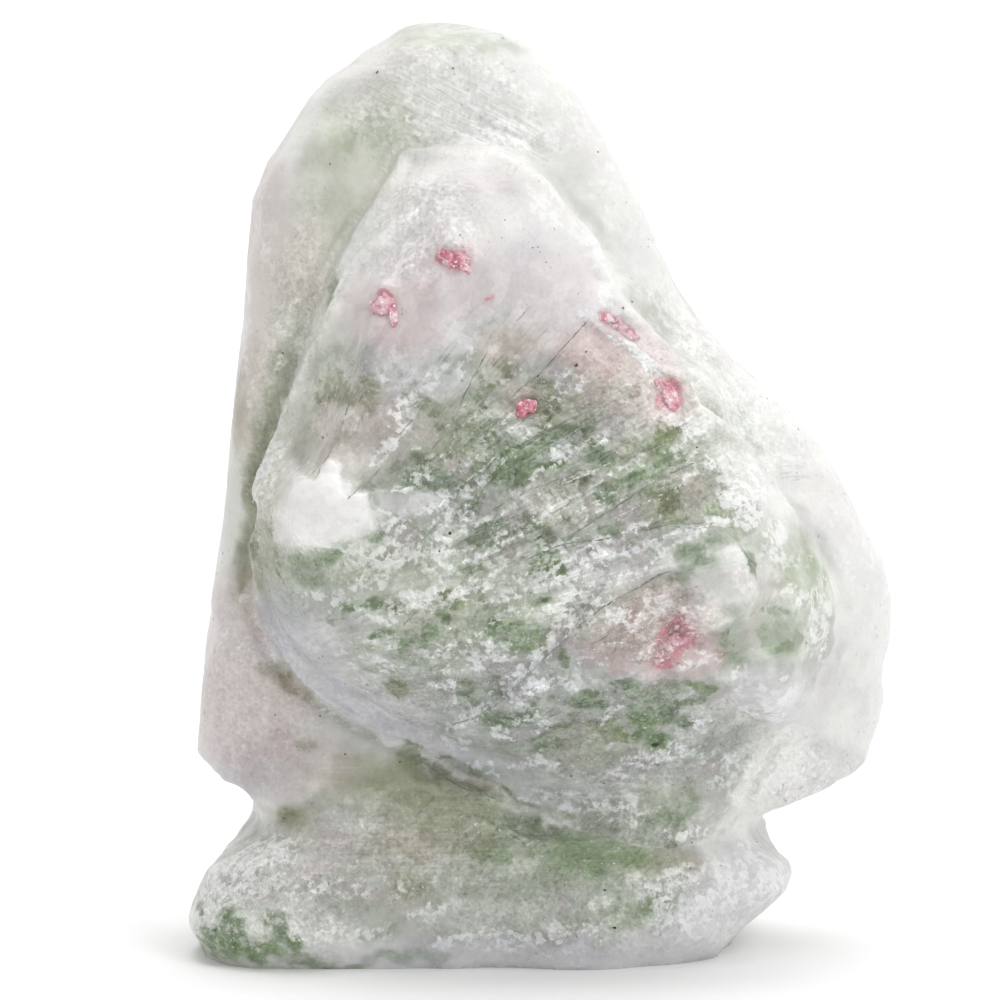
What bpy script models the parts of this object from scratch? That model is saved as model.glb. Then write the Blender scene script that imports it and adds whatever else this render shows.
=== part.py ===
"""A rough marble specimen with pink crystals, standing on its flat foot.

The stone is one solid: a slab with a rounded crown, a narrow waist and a broad foot, and a large
boss that stands proud of its front inside a shallow groove. The pink crystals are a different
mineral, so each is a solid of its own, seated in a pocket in the boss.
Metres, +Z up, front towards -Y. The origin is on the resting face, under the middle of the stone.
"""

import math

import bmesh
import bpy
import numpy as np
from mathutils import Euler, Matrix, Vector
from mathutils.bvhtree import BVHTree

MM = 0.001

# ---- Driving dimensions, in millimetres -------------------------------------------------------
HEIGHT = 79.0
CROWN_START = 75.0
CUT_DEPTH = 2.0  # how far the rough stone reaches below the plane that its foot is cut on
RING_SEGMENTS = 200
RING_STEP = 0.8
CROWN_RINGS = 8
LEFT_SQUARENESS = 5.0  # exponent of the cross-section: 2 is an ellipse, larger is nearer a box
RIGHT_SQUARENESS = ((0, 4.2), (9, 3.6), (16, 2.5))  # the foot is squarer than the lobe above it
MIDDLE = (-0.1, -4.1)  # the middle of the finished stone in x and y, moved onto the origin

# The side edges of the stone seen from the front, as (height, x), from the foot to the crown.
LEFT_EDGE = (
    (-2, -28.6), (0, -29.0), (3.2, -29.8), (6.4, -29.0), (9.7, -26.1), (11.5, -24.3),
    (13.0, -24.5), (13.8, -25.8), (15.0, -27.4), (16.8, -28.9), (18.2, -29.4), (23, -29.1),
    (31, -28.3), (39, -26.9), (49, -25.7), (59, -24.9), (63, -24.6), (66, -23.7), (69, -22.2),
    (72.2, -20.1), (75, -17.7), (79, -14.6),
)
RIGHT_EDGE = (
    (-2, 14.0), (0, 15.6), (1.4, 16.4), (2.8, 18.0), (4.6, 20.6), (6.2, 22.0), (8.2, 20.7),
    (10.0, 18.3), (11.6, 18.3), (12.2, 19.6), (12.8, 22.4), (13.8, 25.2), (15.6, 27.8),
    (17.8, 28.9), (21.6, 29.5), (25, 29.3), (28, 30.2), (30.5, 30.1), (33.4, 29.3), (37, 27.2),
    (41, 24.9), (45, 22.0), (49, 18.2), (53, 14.2), (57, 11.3), (61, 9.6), (65, 7.8), (69, 5.5),
    (72.2, 3.3), (75, 1.2), (79, -1.6),
)

# The front and the back of the plain slab seen from the side, as (height, depth from the middle).
FRONT_DEPTH = (
    (-2, 14.2), (0, 15.2), (3, 16.4), (6, 16.2), (9, 14.8), (12, 13.2), (16, 12.0), (24, 11.2),
    (34, 11.0), (45, 10.6), (60, 9.4), (70, 8.2), (75, 7.2), (79, 6.6),
)
BACK_DEPTH = (
    (-2, 14.6), (0, 15.4), (4, 16.2), (8, 15.2), (12, 14.0), (17, 14.8), (26, 16.6), (38, 17.2),
    (52, 15.0), (64, 11.8), (72, 9.4), (79, 7.2),
)

# The rim of the boss, as (x, height), clockwise from its top.
BOSS_RIM = (
    (-6.8, 69.2), (-2.0, 68.0), (1.6, 65.0), (5.2, 59.8), (8.6, 55.4), (12.6, 50.4), (16.8, 45.4),
    (21.0, 39.8), (23.8, 34.8), (24.9, 29.6), (24.0, 24.4), (20.6, 20.4), (15.0, 17.6),
    (10.0, 14.6), (4.0, 13.6), (-2.0, 14.6), (-6.0, 16.8), (-10.2, 19.2), (-15.2, 21.6),
    (-19.4, 23.8), (-22.6, 27.2), (-24.2, 31.4), (-24.6, 36.0), (-23.2, 40.6), (-21.0, 46.6),
    (-18.4, 53.2), (-15.2, 61.0), (-12.8, 66.4), (-10.2, 68.8),
)
BOSS_HEIGHT = (
    (13, 2.4), (17, 4.6), (22, 7.2), (28, 9.6), (36, 11.0), (44, 9.8), (55, 6.8), (66, 3.9), (70, 2.9),
)
BOSS_WALL = ((13, 4.6), (22, 3.8), (30, 2.6), (38, 1.7), (60, 1.5), (70, 1.3))  # width of its sloping side
BOSS_CROSS_CROWN = 0.30
STEP_IN = 2.3  # width of the lower step that runs down the left side of the boss
STEP_SHARE = 0.45
GROOVE_DEPTH = 1.1
GROOVE_WIDTH = 1.6

# Rounded lumps on the boss and the foot, as (x, height, half width, half height, how far proud).
LUMPS = (
    (-17.6, 39.6, 4.6, 3.2, 2.0),  # the white knob at the left end of the crest
    (15.2, 32.6, 3.6, 3.6, 1.7),  # the ball at the right
    (20.4, 24.6, 4.4, 4.0, 2.2),  # the lobe at the lower right corner
    (5.8, 57.4, 1.8, 3.4, 0.9),  # the drip-like lip on the upper right rim
    (-6.0, 62.5, 7.0, 5.0, 1.0),  # the smooth brow below the top of the boss
    (-11.0, 55.0, 5.0, 5.0, 0.8),
    (3.0, 38.0, 9.0, 5.0, 1.2),
    (-8.0, 27.0, 8.0, 5.0, 0.9),
    (-22.0, 6.0, 5.0, 4.5, 1.0),  # the left toe of the foot
    (-4.0, 7.0, 9.0, 4.5, 0.8),
    (13.0, 8.5, 5.5, 4.0, 0.9),
)

# Hollows across the front, in the same form.
HOLLOWS = (
    (-7.5, 17.4, 5.5, 1.8, 1.3),  # the undercut below the boss
    (3.0, 12.6, 8.0, 1.6, 1.2),
    (-21.0, 13.8, 4.0, 2.4, 0.8),
    (-3.0, 49.0, 5.5, 2.6, 0.9),
    (9.5, 21.0, 4.0, 2.6, 0.8),
)

# Flat broken faces: (point, outward normal, share of the stone beyond the plane that is left).
BROKEN_FACES = (
    ((2.0, 10.0, 65), (0.16, 0.80, 0.58), 0.10),  # the back of the crown
    ((-14.0, 13.2, 46), (-0.52, 0.84, 0.10), 0.10),
    ((15.0, 13.2, 40), (0.58, 0.80, 0.16), 0.10),
    ((-2.0, 15.2, 31), (0.03, 0.995, -0.09), 0.12),
    ((22.0, 9.0, 22), (0.70, 0.66, -0.26), 0.20),
    ((-21.0, 11.0, 24), (-0.55, 0.82, -0.16), 0.20),
    ((-12.0, 14.6, 6), (-0.22, 0.97, 0.10), 0.20),
    ((8.0, 14.4, 6), (0.20, 0.97, 0.12), 0.20),
    ((21.0, -2.0, 54), (0.78, -0.32, 0.54), 0.55),
    ((-18.0, -4.0, 71), (-0.66, -0.36, 0.66), 0.45),
)

REMESH_VOXEL = 0.72
SMOOTH_ROUNDS = 3
TRIANGLE_SHARE = 0.140
ROUGHNESS = (
    ("broad", "CLOUDS", 10.0, 1.5),
    ("chipped", "VORONOI", 6.0, 1.1),
    ("small", "CLOUDS", 2.6, 0.8),
)
POCKET_GAP = 0.3

STONE_COLOUR = (0.80, 0.81, 0.77, 1)
CRYSTAL_COLOUR = (0.76, 0.20, 0.30, 1)


def material(name, colour, roughness):
    made = bpy.data.materials.new(name)
    made.use_nodes = True
    shader = made.node_tree.nodes["Principled BSDF"]
    shader.inputs["Base Color"].default_value = colour
    shader.inputs["Roughness"].default_value = roughness
    shader.inputs["Metallic"].default_value = 0
    made.diffuse_color = colour
    return made


def add_object(name, mesh, collection, finish=None):
    made = bpy.data.objects.new(name, mesh)
    collection.objects.link(made)
    if finish:
        mesh.materials.append(finish)
    return made


def from_middle(x, y, z):
    """A measured place in millimetres as a point in metres, from the origin under the middle."""
    return Vector((x - MIDDLE[0], y - MIDDLE[1], z)) * MM


def along(profile, height):
    """The value of a (height, value) profile at each height."""
    heights, values = zip(*profile)
    return np.interp(height, heights, values)


def depth_inside(x, z, rim):
    """How far each (x, z) point lies inside the rim, negative outside it."""
    corners = np.array(rim)
    starts, ends = corners, np.roll(corners, -1, axis=0)
    nearest = np.full(x.shape, np.inf)
    inside = np.zeros(x.shape, bool)
    for (ax, az), (bx, bz) in zip(starts, ends):
        share = ((x - ax) * (bx - ax) + (z - az) * (bz - az)) / ((bx - ax) ** 2 + (bz - az) ** 2)
        share = np.clip(share, 0, 1)
        nearest = np.minimum(nearest, np.hypot(x - ax - share * (bx - ax), z - az - share * (bz - az)))
        spans = (az > z) != (bz > z)
        crossing = ax + (z - az) * (bx - ax) / (bz - az if bz != az else 1e-9)
        inside ^= spans & (x < crossing)
    return np.where(inside, nearest, -nearest)


def bump(x, z, centre_x, centre_z, half_width, half_height):
    """1 at the centre of a rounded lump, falling smoothly to 0 at about twice its half sizes."""
    return np.exp(-(((x - centre_x) / half_width) ** 2) - ((z - centre_z) / half_height) ** 2)


def ring_heights():
    """Even steps up to the crown, then steps that close in on the top as a quarter circle."""
    even = np.arange(-CUT_DEPTH, CROWN_START, RING_STEP)
    turn = np.linspace(0, math.pi / 2, CROWN_RINGS, endpoint=False)
    return np.concatenate([even, CROWN_START + (HEIGHT - CROWN_START) * np.sin(turn)])


def shape_slab(points, heights):
    """Gives each ring of the upright cylinder the stone's cross-section at its height."""
    angle = np.arctan2(points[:, 1], points[:, 0])
    ring = np.rint(points[:, 2] * (len(heights) - 1)).astype(int)
    z = heights[ring]
    left, right = along(LEFT_EDGE, z), along(RIGHT_EDGE, z)
    rounding = np.sqrt(np.clip(1 - ((z - CROWN_START) / (HEIGHT - CROWN_START)) ** 2, 0, 1))
    closing = np.where(z > CROWN_START, rounding, 1)
    across, back = np.cos(angle), np.sin(angle)
    power = np.where(across < 0, 2 / LEFT_SQUARENESS, 2 / along(RIGHT_SQUARENESS, z))
    x = (left + right) / 2 + (right - left) / 2 * np.sign(across) * np.abs(across) ** power * closing
    depth = np.where(back < 0, along(FRONT_DEPTH, z), along(BACK_DEPTH, z))
    y = depth * np.sign(back) * np.abs(back) ** power * closing
    return np.stack([x, y, z], axis=1)


def break_faces(points):
    """Presses the stone flat wherever it stands beyond one of the broken faces."""
    for place, normal, left_over in BROKEN_FACES:
        normal = np.array(normal) / np.linalg.norm(normal)
        beyond = np.clip((points - np.array(place)) @ normal, 0, None)
        points = points - np.outer(beyond * (1 - left_over), normal)
    return points


def raise_front(points):
    """Raises the boss with its groove, lumps and hollows towards the front."""
    x, y, z = points.T
    facing = np.clip(-y / 3.0, 0, 1)
    inside = depth_inside(x, z, BOSS_RIM)
    within = np.clip(inside, 0, None)
    wall = 1 - np.exp(-within / along(BOSS_WALL, z))
    step = np.clip((within - STEP_IN) / 2.2, 0, 1)
    stepped = STEP_SHARE * (1 - np.exp(-within / 0.6)) + (1 - STEP_SHARE) * step * step * (3 - 2 * step)
    left_share = np.clip(-(x + 4) / 5, 0, 1) * np.clip((z - 36) / 6, 0, 1)
    wall = wall + (stepped - wall) * left_share
    cross = 1 - BOSS_CROSS_CROWN * ((x + 1) / 25) ** 2
    proud = along(BOSS_HEIGHT, z) * wall * cross
    proud -= GROOVE_DEPTH * np.exp(-(((inside + GROOVE_WIDTH * 0.7) / GROOVE_WIDTH) ** 2))
    for *place, how_far in LUMPS:
        proud += how_far * bump(x, z, *place)
    for *place, how_deep in HOLLOWS:
        proud -= how_deep * bump(x, z, *place)
    return np.stack([x, y - proud * facing, z], axis=1)


def stone_mesh():
    """An upright cylinder of many rings, shaped ring by ring into the stone."""
    heights = ring_heights()
    shape = bmesh.new()
    bmesh.ops.create_cone(
        shape, cap_ends=True, cap_tris=False, segments=RING_SEGMENTS, radius1=1, radius2=1, depth=1
    )
    bmesh.ops.translate(shape, vec=(0, 0, 0.5), verts=shape.verts)
    upright = [edge for edge in shape.edges if abs(edge.verts[0].co.z - edge.verts[1].co.z) > 0.5]
    bmesh.ops.subdivide_edges(shape, edges=upright, cuts=len(heights) - 2, use_grid_fill=True)
    points = np.array([vertex.co for vertex in shape.verts])
    points = raise_front(break_faces(shape_slab(points, heights)))
    for vertex, place in zip(shape.verts, points):
        vertex.co = from_middle(*place)
    bmesh.ops.recalc_face_normals(shape, faces=shape.faces)
    mesh = bpy.data.meshes.new("stone")
    shape.to_mesh(mesh)
    shape.free()
    return mesh


def rough_texture(name, kind, size):
    texture = bpy.data.textures.new(name, kind)
    texture.noise_scale = size * MM
    if kind == "CLOUDS":
        texture.noise_depth = 2
    return texture


def roughen(stone):
    """Evens the mesh, rounds it, roughens it and thins it to the faces that its form needs."""
    remesh = stone.modifiers.new("even faces", "REMESH")
    remesh.mode = "VOXEL"
    remesh.voxel_size = REMESH_VOXEL * MM
    remesh.adaptivity = 0
    smooth = stone.modifiers.new("worn edges", "SMOOTH")
    smooth.factor = 0.5
    smooth.iterations = SMOOTH_ROUNDS
    for name, kind, size, strength in ROUGHNESS:
        rough = stone.modifiers.new(name + " roughness", "DISPLACE")
        rough.texture = rough_texture(name, kind, size)
        rough.strength = strength * MM
        rough.mid_level = 0.5
    thin = stone.modifiers.new("thin faces", "DECIMATE")
    thin.ratio = TRIANGLE_SHARE
    thin.use_collapse_triangulate = True


def floor_cutter(collection):
    """A block under the stone. Its top is the plane of the resting face."""
    shape = bmesh.new()
    bmesh.ops.create_cube(shape, size=1)
    bmesh.ops.scale(shape, vec=(90 * MM, 60 * MM, 10 * MM), verts=shape.verts)
    bmesh.ops.translate(shape, vec=(0, 0, -5 * MM), verts=shape.verts)
    mesh = bpy.data.meshes.new("floor")
    shape.to_mesh(mesh)
    shape.free()
    return as_cutter(add_object("floor_cutter", mesh, collection))


def as_cutter(obj):
    obj.hide_render = True
    obj.display_type = "WIRE"
    return obj


# ---- The pink crystals ------------------------------------------------------------------------
# Each is one or more hexagonal blocks grown together: (across, up, out of the surface, width,
# length, lean, turn), in millimetres and degrees, about the place where the crystal sits.
CRYSTALS = {
    "pink_crystal_upper": ((-7.1, 59.8), ((-0.7, 0.3, 0, 1.2, 2.0, 12, 10), (0.5, -0.2, 0, 1.7, 2.2, -14, 35))),
    "pink_crystal_left": ((-13.2, 56.0), ((0.0, 0.5, 0, 1.6, 2.0, 18, 5), (-0.2, -0.7, 0, 1.3, 1.9, -12, 50),
                                          (0.6, -1.1, 0, 0.9, 1.7, -25, 20))),
    "pink_crystal_right_pair": ((6.2, 54.2), ((-0.45, 0.25, 0, 1.7, 2.0, 10, 25), (0.7, -0.35, 0, 1.5, 1.8, -12, 0))),
    "pink_crystal_right": ((10.8, 48.4), ((-0.2, 0.4, 0, 1.9, 2.2, 8, 15), (0.3, -0.7, 0, 1.5, 2.0, -20, 40))),
    "pink_crystal_middle": ((-1.5, 47.4), ((0.0, 0.0, 0, 1.6, 2.0, 15, 30), (0.6, 0.3, 0, 1.0, 1.7, -20, 10))),
    "pink_crystal_cluster": ((11.0, 27.6), ((0.6, 1.6, 0, 1.8, 2.2, 15, 10), (-0.3, 0.2, 0, 2.1, 2.3, -8, 35),
                                            (1.2, -0.2, 0, 1.7, 2.1, 18, 50), (-1.5, -0.9, 0, 1.8, 2.1, -16, 20),
                                            (0.1, -1.4, 0, 1.5, 2.0, 22, 5))),
}
CRYSTAL_SIDES = 6
CRYSTAL_SUNK = 0.55  # share of a block's length that is below the surface
CHAMFER_SHARE = 0.22


def crystal_block(block):
    """One six-sided block with chamfered ends, standing out along +Z."""
    across, up, out, width, length, lean, turn = block
    shape = bmesh.new()
    bmesh.ops.create_cone(
        shape, cap_ends=True, segments=CRYSTAL_SIDES,
        radius1=width / 2 * MM, radius2=width * 0.44 * MM, depth=length * MM,
    )
    ends = [edge for edge in shape.edges if abs(edge.verts[0].co.z - edge.verts[1].co.z) < 1e-7]
    bmesh.ops.bevel(
        shape, geom=ends, offset=width * CHAMFER_SHARE * MM, segments=1, profile=0.5,
        affect="EDGES", material=-1,
    )
    bmesh.ops.translate(shape, vec=(0, 0, length * (0.5 - CRYSTAL_SUNK) * MM), verts=shape.verts)
    tilt = Euler((math.radians(lean), math.radians(lean / 2), math.radians(turn))).to_matrix()
    bmesh.ops.rotate(shape, cent=(0, 0, 0), matrix=tilt, verts=shape.verts)
    bmesh.ops.translate(shape, vec=(across * MM, up * MM, out * MM), verts=shape.verts)
    mesh = bpy.data.meshes.new("block")
    shape.to_mesh(mesh)
    shape.free()
    return mesh


def seat(surface, x, z):
    """A frame on the stone's front at (x, z): +Z out of the stone and +Y up it."""
    place, normal, _, _ = surface.ray_cast(from_middle(x, -100, z), Vector((0, 1, 0)))
    outward = (normal + Vector((0, -1, 0))).normalized()
    side = Vector((0, 0, 1)).cross(outward).normalized()
    up = outward.cross(side)
    turn = Matrix((side, up, outward)).transposed()
    return Matrix.Translation(place) @ turn.to_4x4()


def crystal(name, blocks, frame, parts, cutters, finish):
    """Blocks joined by Boolean unions into one crystal, seated in the stone."""
    body, *others = blocks
    made = add_object(name, crystal_block(body), parts, finish)
    made.matrix_world = frame
    for number, block in enumerate(others, 1):
        grown = as_cutter(add_object(f"{name}_block_{number}", crystal_block(block), cutters))
        grown.matrix_world = frame
        union = made.modifiers.new(f"grown together {number}", "BOOLEAN")
        union.operation = "UNION"
        union.object = grown
    return made


def pocket(made, collection):
    """The hollow that a crystal sits in: its convex hull, larger all round by the gap."""
    grown = made.evaluated_get(bpy.context.evaluated_depsgraph_get()).to_mesh()
    shape = bmesh.new()
    for vertex in grown.vertices:
        shape.verts.new(vertex.co)
    hull = bmesh.ops.convex_hull(shape, input=shape.verts)
    spare = {item for item in hull["geom_interior"] + hull["geom_unused"] if isinstance(item, bmesh.types.BMVert)}
    bmesh.ops.delete(shape, geom=list(spare), context="VERTS")
    bmesh.ops.recalc_face_normals(shape, faces=shape.faces)
    centre = sum((vertex.co for vertex in shape.verts), Vector()) / len(shape.verts)
    reach = min(face.normal.dot(face.calc_center_median() - centre) for face in shape.faces)
    bmesh.ops.translate(shape, vec=-centre, verts=shape.verts)
    bmesh.ops.scale(shape, vec=[1 + POCKET_GAP * MM / reach] * 3, verts=shape.verts)
    bmesh.ops.translate(shape, vec=centre, verts=shape.verts)
    mesh = bpy.data.meshes.new("pocket")
    shape.to_mesh(mesh)
    shape.free()
    hollow = as_cutter(add_object(made.name + "_pocket", mesh, collection))
    hollow.matrix_world = made.matrix_world
    return hollow


def cut(obj, cutter):
    made = obj.modifiers.new("cut by " + cutter.name, "BOOLEAN")
    made.operation = "DIFFERENCE"
    made.object = cutter


def new_collection(name):
    made = bpy.data.collections.new(name)
    bpy.context.scene.collection.children.link(made)
    return made


def main():
    for old in list(bpy.data.objects):
        bpy.data.objects.remove(old)
    parts = new_collection("crystal specimen")
    cutters = new_collection("cutters")
    stone = add_object("stone_matrix", stone_mesh(), parts, material("marble", STONE_COLOUR, 0.55))
    roughen(stone)
    cut(stone, floor_cutter(cutters))
    bpy.context.view_layer.update()
    surface = BVHTree.FromObject(stone, bpy.context.evaluated_depsgraph_get())
    pink = material("pink crystal", CRYSTAL_COLOUR, 0.25)
    hollows = []
    for name, ((x, z), blocks) in CRYSTALS.items():
        made = crystal(name, blocks, seat(surface, x, z), parts, cutters, pink)
        bpy.context.view_layer.update()
        hollows.append(pocket(made, cutters))
    for hollow in hollows:
        cut(stone, hollow)


main()
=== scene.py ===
"""A hand-sized lump of white marble with green mottling and small pink crystals, on a pale table."""

import math

import bmesh
import bpy
import numpy as np
from mathutils import Euler, Matrix, Vector, noise
from mathutils.bvhtree import BVHTree


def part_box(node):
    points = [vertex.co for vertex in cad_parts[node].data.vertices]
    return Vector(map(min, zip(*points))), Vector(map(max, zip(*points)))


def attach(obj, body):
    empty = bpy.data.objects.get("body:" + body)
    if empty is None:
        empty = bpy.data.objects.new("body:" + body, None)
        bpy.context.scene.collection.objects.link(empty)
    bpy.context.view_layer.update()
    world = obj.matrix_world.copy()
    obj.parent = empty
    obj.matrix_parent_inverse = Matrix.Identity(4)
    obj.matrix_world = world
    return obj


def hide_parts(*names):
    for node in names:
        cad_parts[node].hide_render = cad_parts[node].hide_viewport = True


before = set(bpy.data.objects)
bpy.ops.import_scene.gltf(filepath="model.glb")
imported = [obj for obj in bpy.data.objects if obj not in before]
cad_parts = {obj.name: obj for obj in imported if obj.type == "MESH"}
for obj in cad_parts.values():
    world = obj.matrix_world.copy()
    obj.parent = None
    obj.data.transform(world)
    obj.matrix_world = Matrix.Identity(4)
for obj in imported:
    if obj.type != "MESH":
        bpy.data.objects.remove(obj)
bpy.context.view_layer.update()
MM = 0.001


# ---- The camera -------------------------------------------------------------------------------
# A long lens a little above the middle of the stone. Places on the stone's front are given in
# this script as they are seen through it, in a square frame of 1000 by 1000 from the top left.
FRAME_SIZE = 1000
PIXEL = 0.084 * MM  # one step of the frame, at the stone
LENS = 150.0
SENSOR = 36.0
CAMERA_TILT = math.radians(5.0)
CAMERA_DISTANCE = 356 * MM
NEAREST_SEEN = 10 * MM
CAMERA_AIM = Vector((-3.6, 0, 38.4)) * MM

ahead = Vector((0, math.cos(CAMERA_TILT), -math.sin(CAMERA_TILT)))
upward = Vector((0, math.sin(CAMERA_TILT), math.cos(CAMERA_TILT)))
camera_place = CAMERA_AIM - ahead * CAMERA_DISTANCE

camera_data = bpy.data.cameras.new("camera")
camera_data.lens = LENS
camera_data.sensor_width = SENSOR
camera_data.clip_start = NEAREST_SEEN
camera = bpy.data.objects.new("camera", camera_data)
camera.location = camera_place
camera.rotation_euler = Euler((math.pi / 2 - CAMERA_TILT, 0, 0))
bpy.context.scene.collection.objects.link(camera)
bpy.context.scene.camera = camera


def seen(points):
    """Where points in metres are seen in the frame, as (across, down)."""
    from_camera = points - np.array(camera_place)
    scale = LENS / SENSOR * FRAME_SIZE / (from_camera @ np.array(ahead))
    across = FRAME_SIZE / 2 + from_camera[:, 0] * scale
    down = FRAME_SIZE / 2 - from_camera @ np.array(upward) * scale
    return np.stack([across, down], axis=1)


def sight_line(across, down):
    """The direction in which the camera sees a place in the frame."""
    scale = SENSOR / LENS / FRAME_SIZE
    line = ahead + Vector((1, 0, 0)) * (across - FRAME_SIZE / 2) * scale
    return (line + upward * (FRAME_SIZE / 2 - down) * scale).normalized()


# ---- The stone: its shape ---------------------------------------------------------------------
# One lump of coarse, sugary marble that was trimmed with a saw and a grinding wheel. It starts as
# the solid's own surface, evened out, and gets its broken rims, steps, scratches and grain here.
STONE_VOXEL = 0.36 * MM
STONE_SMOOTHING = 34
# how far a point looks to the front or the back, from -1 to 1
BACK_FACING = 0.15
FRONT_FACING = (-0.12, 0.25)
SIDE_FACING = (0.10, 0.50)
BACK_SHARE = 0.74
SEAT_FILLING = 1.3
SEAT_FILLING_BACK = 0.95 * MM
BASE_FLAT = 0.25 * MM
# the listed edges stray a little: (size, seed, reach in px), and the share of it that each takes
STRAYS = ((2.2 * MM, 1, 9), (0.9 * MM, 3, 5))
RIM_STRAY, STEP_STRAY, LUMP_STRAY, KNOB_STRAY, KNOB_COLOUR_STRAY = 0.25, 0.3, 0.6, 0.15, 0.4

BOSS_RIM = (  # the edge of the raised boss, clockwise from its top
    (406, 149), (449, 146), (492, 147), (526, 164), (550, 183), (569, 207), (588, 226), (602, 260),
    (614, 293), (636, 312), (660, 336), (684, 370), (703, 404), (732, 428), (756, 456), (785, 495),
    (814, 533), (828, 572), (835, 610), (828, 653), (809, 692), (790, 722), (760, 752), (735, 800),
    (713, 834), (675, 846), (641, 844), (607, 836), (577, 827), (551, 817), (521, 804), (496, 785),
    (453, 767), (419, 748), (385, 735), (351, 718), (321, 701), (296, 678), (276, 648), (262, 615),
    (252, 586), (244, 543), (252, 519), (264, 471), (278, 432), (298, 365), (314, 317), (331, 276),
    (342, 252), (357, 227), (372, 205), (387, 178), (398, 156),
)
INNER_RIDGE = ((412, 214), (382, 240), (352, 270), (336, 312), (318, 352), (298, 400), (280, 450), (262, 500))
STEPS = (  # broken ledges on the boss: (path, height in mm, reach in px); the lower side is on the right
    (((590, 605), (572, 634), (545, 660), (505, 692), (450, 726)), 0.50, 26),
    (((440, 497), (408, 488), (378, 490)), 0.35, 22),
    (((597, 330), (640, 355), (664, 374)), 0.30, 14),
    (((727, 522), (668, 527), (600, 552), (540, 580), (490, 596)), 0.22, 14),
)
# an oval is (across, down, half across, half down, strength in %), with its turn in degrees after
# it where it has one; for lumps, dents and the groove the strength is hundredths of a millimetre
LUMPS = (
    (322, 510, 54, 38, 50), (338, 488, 22, 26, 30), (390, 500, 34, 12, 25, 5), (712, 590, 32, 34, 115),
    (744, 572, 12, 16, 25), (776, 690, 34, 28, 70), (603, 272, 10, 34, 55, 24), (745, 500, 22, 24, 30),
    (792, 586, 22, 8, 35, -30), (290, 930, 40, 30, 25), (225, 930, 24, 30, 20),
    (410, 250, 44, 16, 12, 30), (500, 132, 50, 14, 45, -15), (455, 138, 30, 8, 20),
)
DENTS = (
    (784, 622, 16, 14, 50), (750, 545, 9, 26, 40, 40), (310, 560, 30, 14, 30), (690, 650, 20, 24, 25),
    (740, 650, 14, 30, 30), (650, 600, 30, 14, 25, 20), (440, 520, 40, 16, 20, 20),
    (470, 775, 30, 8, 35, -30), (520, 822, 50, 8, 45, -14),
)
TERRACES = (  # where the stone broke in thin level layers
    (620, 800, 110, 26, 100), (700, 770, 60, 30, 80, 15), (770, 860, 20, 30, 80),
    (400, 720, 50, 16, 50, -30),
)
TERRACE_HEIGHT, TERRACE_SIZE = 0.28, (9, 9, 0.8)
SCRATCHED = (  # where the saw and the wheel left marks
    (470, 290, 90, 60, 30, 60), (590, 470, 150, 110, 100, 30), (500, 380, 110, 80, 90, 55),
    (650, 570, 130, 50, 90, 25), (460, 112, 100, 44, 100, -20), (760, 470, 40, 90, 50, 40),
    (470, 840, 170, 46, 75), (330, 790, 60, 40, 45),
)
SCRATCH_HEIGHT, SCRATCH_SIZE = 0.13, (0.9, 9.0, 7.0)
SUGARY = (  # where the grains stand out
    (560, 500, 190, 120, 90, 30), (500, 610, 130, 60, 100, 10), (420, 235, 60, 50, 50, 30),
    (455, 104, 90, 36, 35, -16), (290, 330, 26, 130, 70, -12), (262, 480, 20, 110, 70, -8),
    (655, 620, 60, 40, 100, 10), (270, 900, 90, 60, 90), (560, 900, 160, 50, 70), (330, 565, 80, 26, 70),
    (640, 740, 130, 60, 70), (700, 900, 80, 50, 25), (300, 340, 20, 80, 80, -20), (780, 770, 60, 40, 40),
    (240, 640, 30, 60, 40), (400, 122, 56, 34, 55, -10), (500, 120, 60, 26, 35, -30),
    (430, 850, 140, 56, 85), (260, 700, 60, 90, 55), (300, 600, 60, 30, 30), (470, 690, 110, 50, 80),
    (630, 825, 90, 26, 80), (370, 400, 70, 60, 50), (505, 132, 50, 20, 55, -20),
    (450, 70, 70, 24, 35, -10),
)
SUGARY_BEHIND = 0.22
CALM = (  # where the surface is worn even
    (480, 190, 80, 50, 70), (440, 70, 130, 50, 60), (720, 890, 60, 50, 60),
)
SEATS = (  # shallow hollows in which the pink crystals sit
    (453, 260, 17, 12, 100), (386, 308, 13, 18, 100), (611, 322, 15, 10, 100, -10),
    (629, 333, 12, 9, 100, -20), (668, 397, 15, 18, 100), (523, 408, 13, 12, 100),
    (676, 642, 16, 26, 60, -20),
)
SEAT_DEPTH = 0.12
BOSS_EDGE = (-4, 3)
# heights and depths are in millimetres, insets from the rim and reaches across are in px
SWELL_HEIGHT, SWELL_SIZE = 0.12, 3.6 * MM
PIT_HEIGHT, PIT_SIZE = 0.05, 1.4 * MM
RIM_HEIGHT, RIM_INSET, RIM_REACH = 0.38, 6, 7
GROOVE_DEPTH, GROOVE_INSET, GROOVE_REACH = 0.70, -6, 6
GROOVE_SHALLOWS = ((505, 142, 60, 30, 68), (470, 790, 90, 40, 30, -20))
WORN_RIM = ((640, 842, 110, 40, 90),)
WORN_DEPTH, WORN_REACH = 0.7, 34
STEP_EDGE = 4
INNER_RIDGE_HEIGHT, INNER_RIDGE_REACH = 0.55, 5
LEFT_EDGE = (  # the stone's outline on the left as it is seen, from the crown down to the foot
    (360, 50), (344, 60), (323, 80), (306, 100), (294, 120), (281, 140), (268, 160), (252, 200),
    (247, 260), (243, 320), (236, 380), (230, 440), (223, 520), (211, 600), (204, 660), (199, 720),
    (197, 752), (202, 760), (208, 765), (211, 770), (216, 774), (220, 781), (231, 784), (240, 789),
    (246, 795), (250, 803), (250, 811), (246, 820), (238, 830), (236, 836), (227, 845), (214, 860),
    (205, 870), (198, 885), (193, 900), (189, 916), (188, 930), (192, 945), (204, 955),
)
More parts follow.
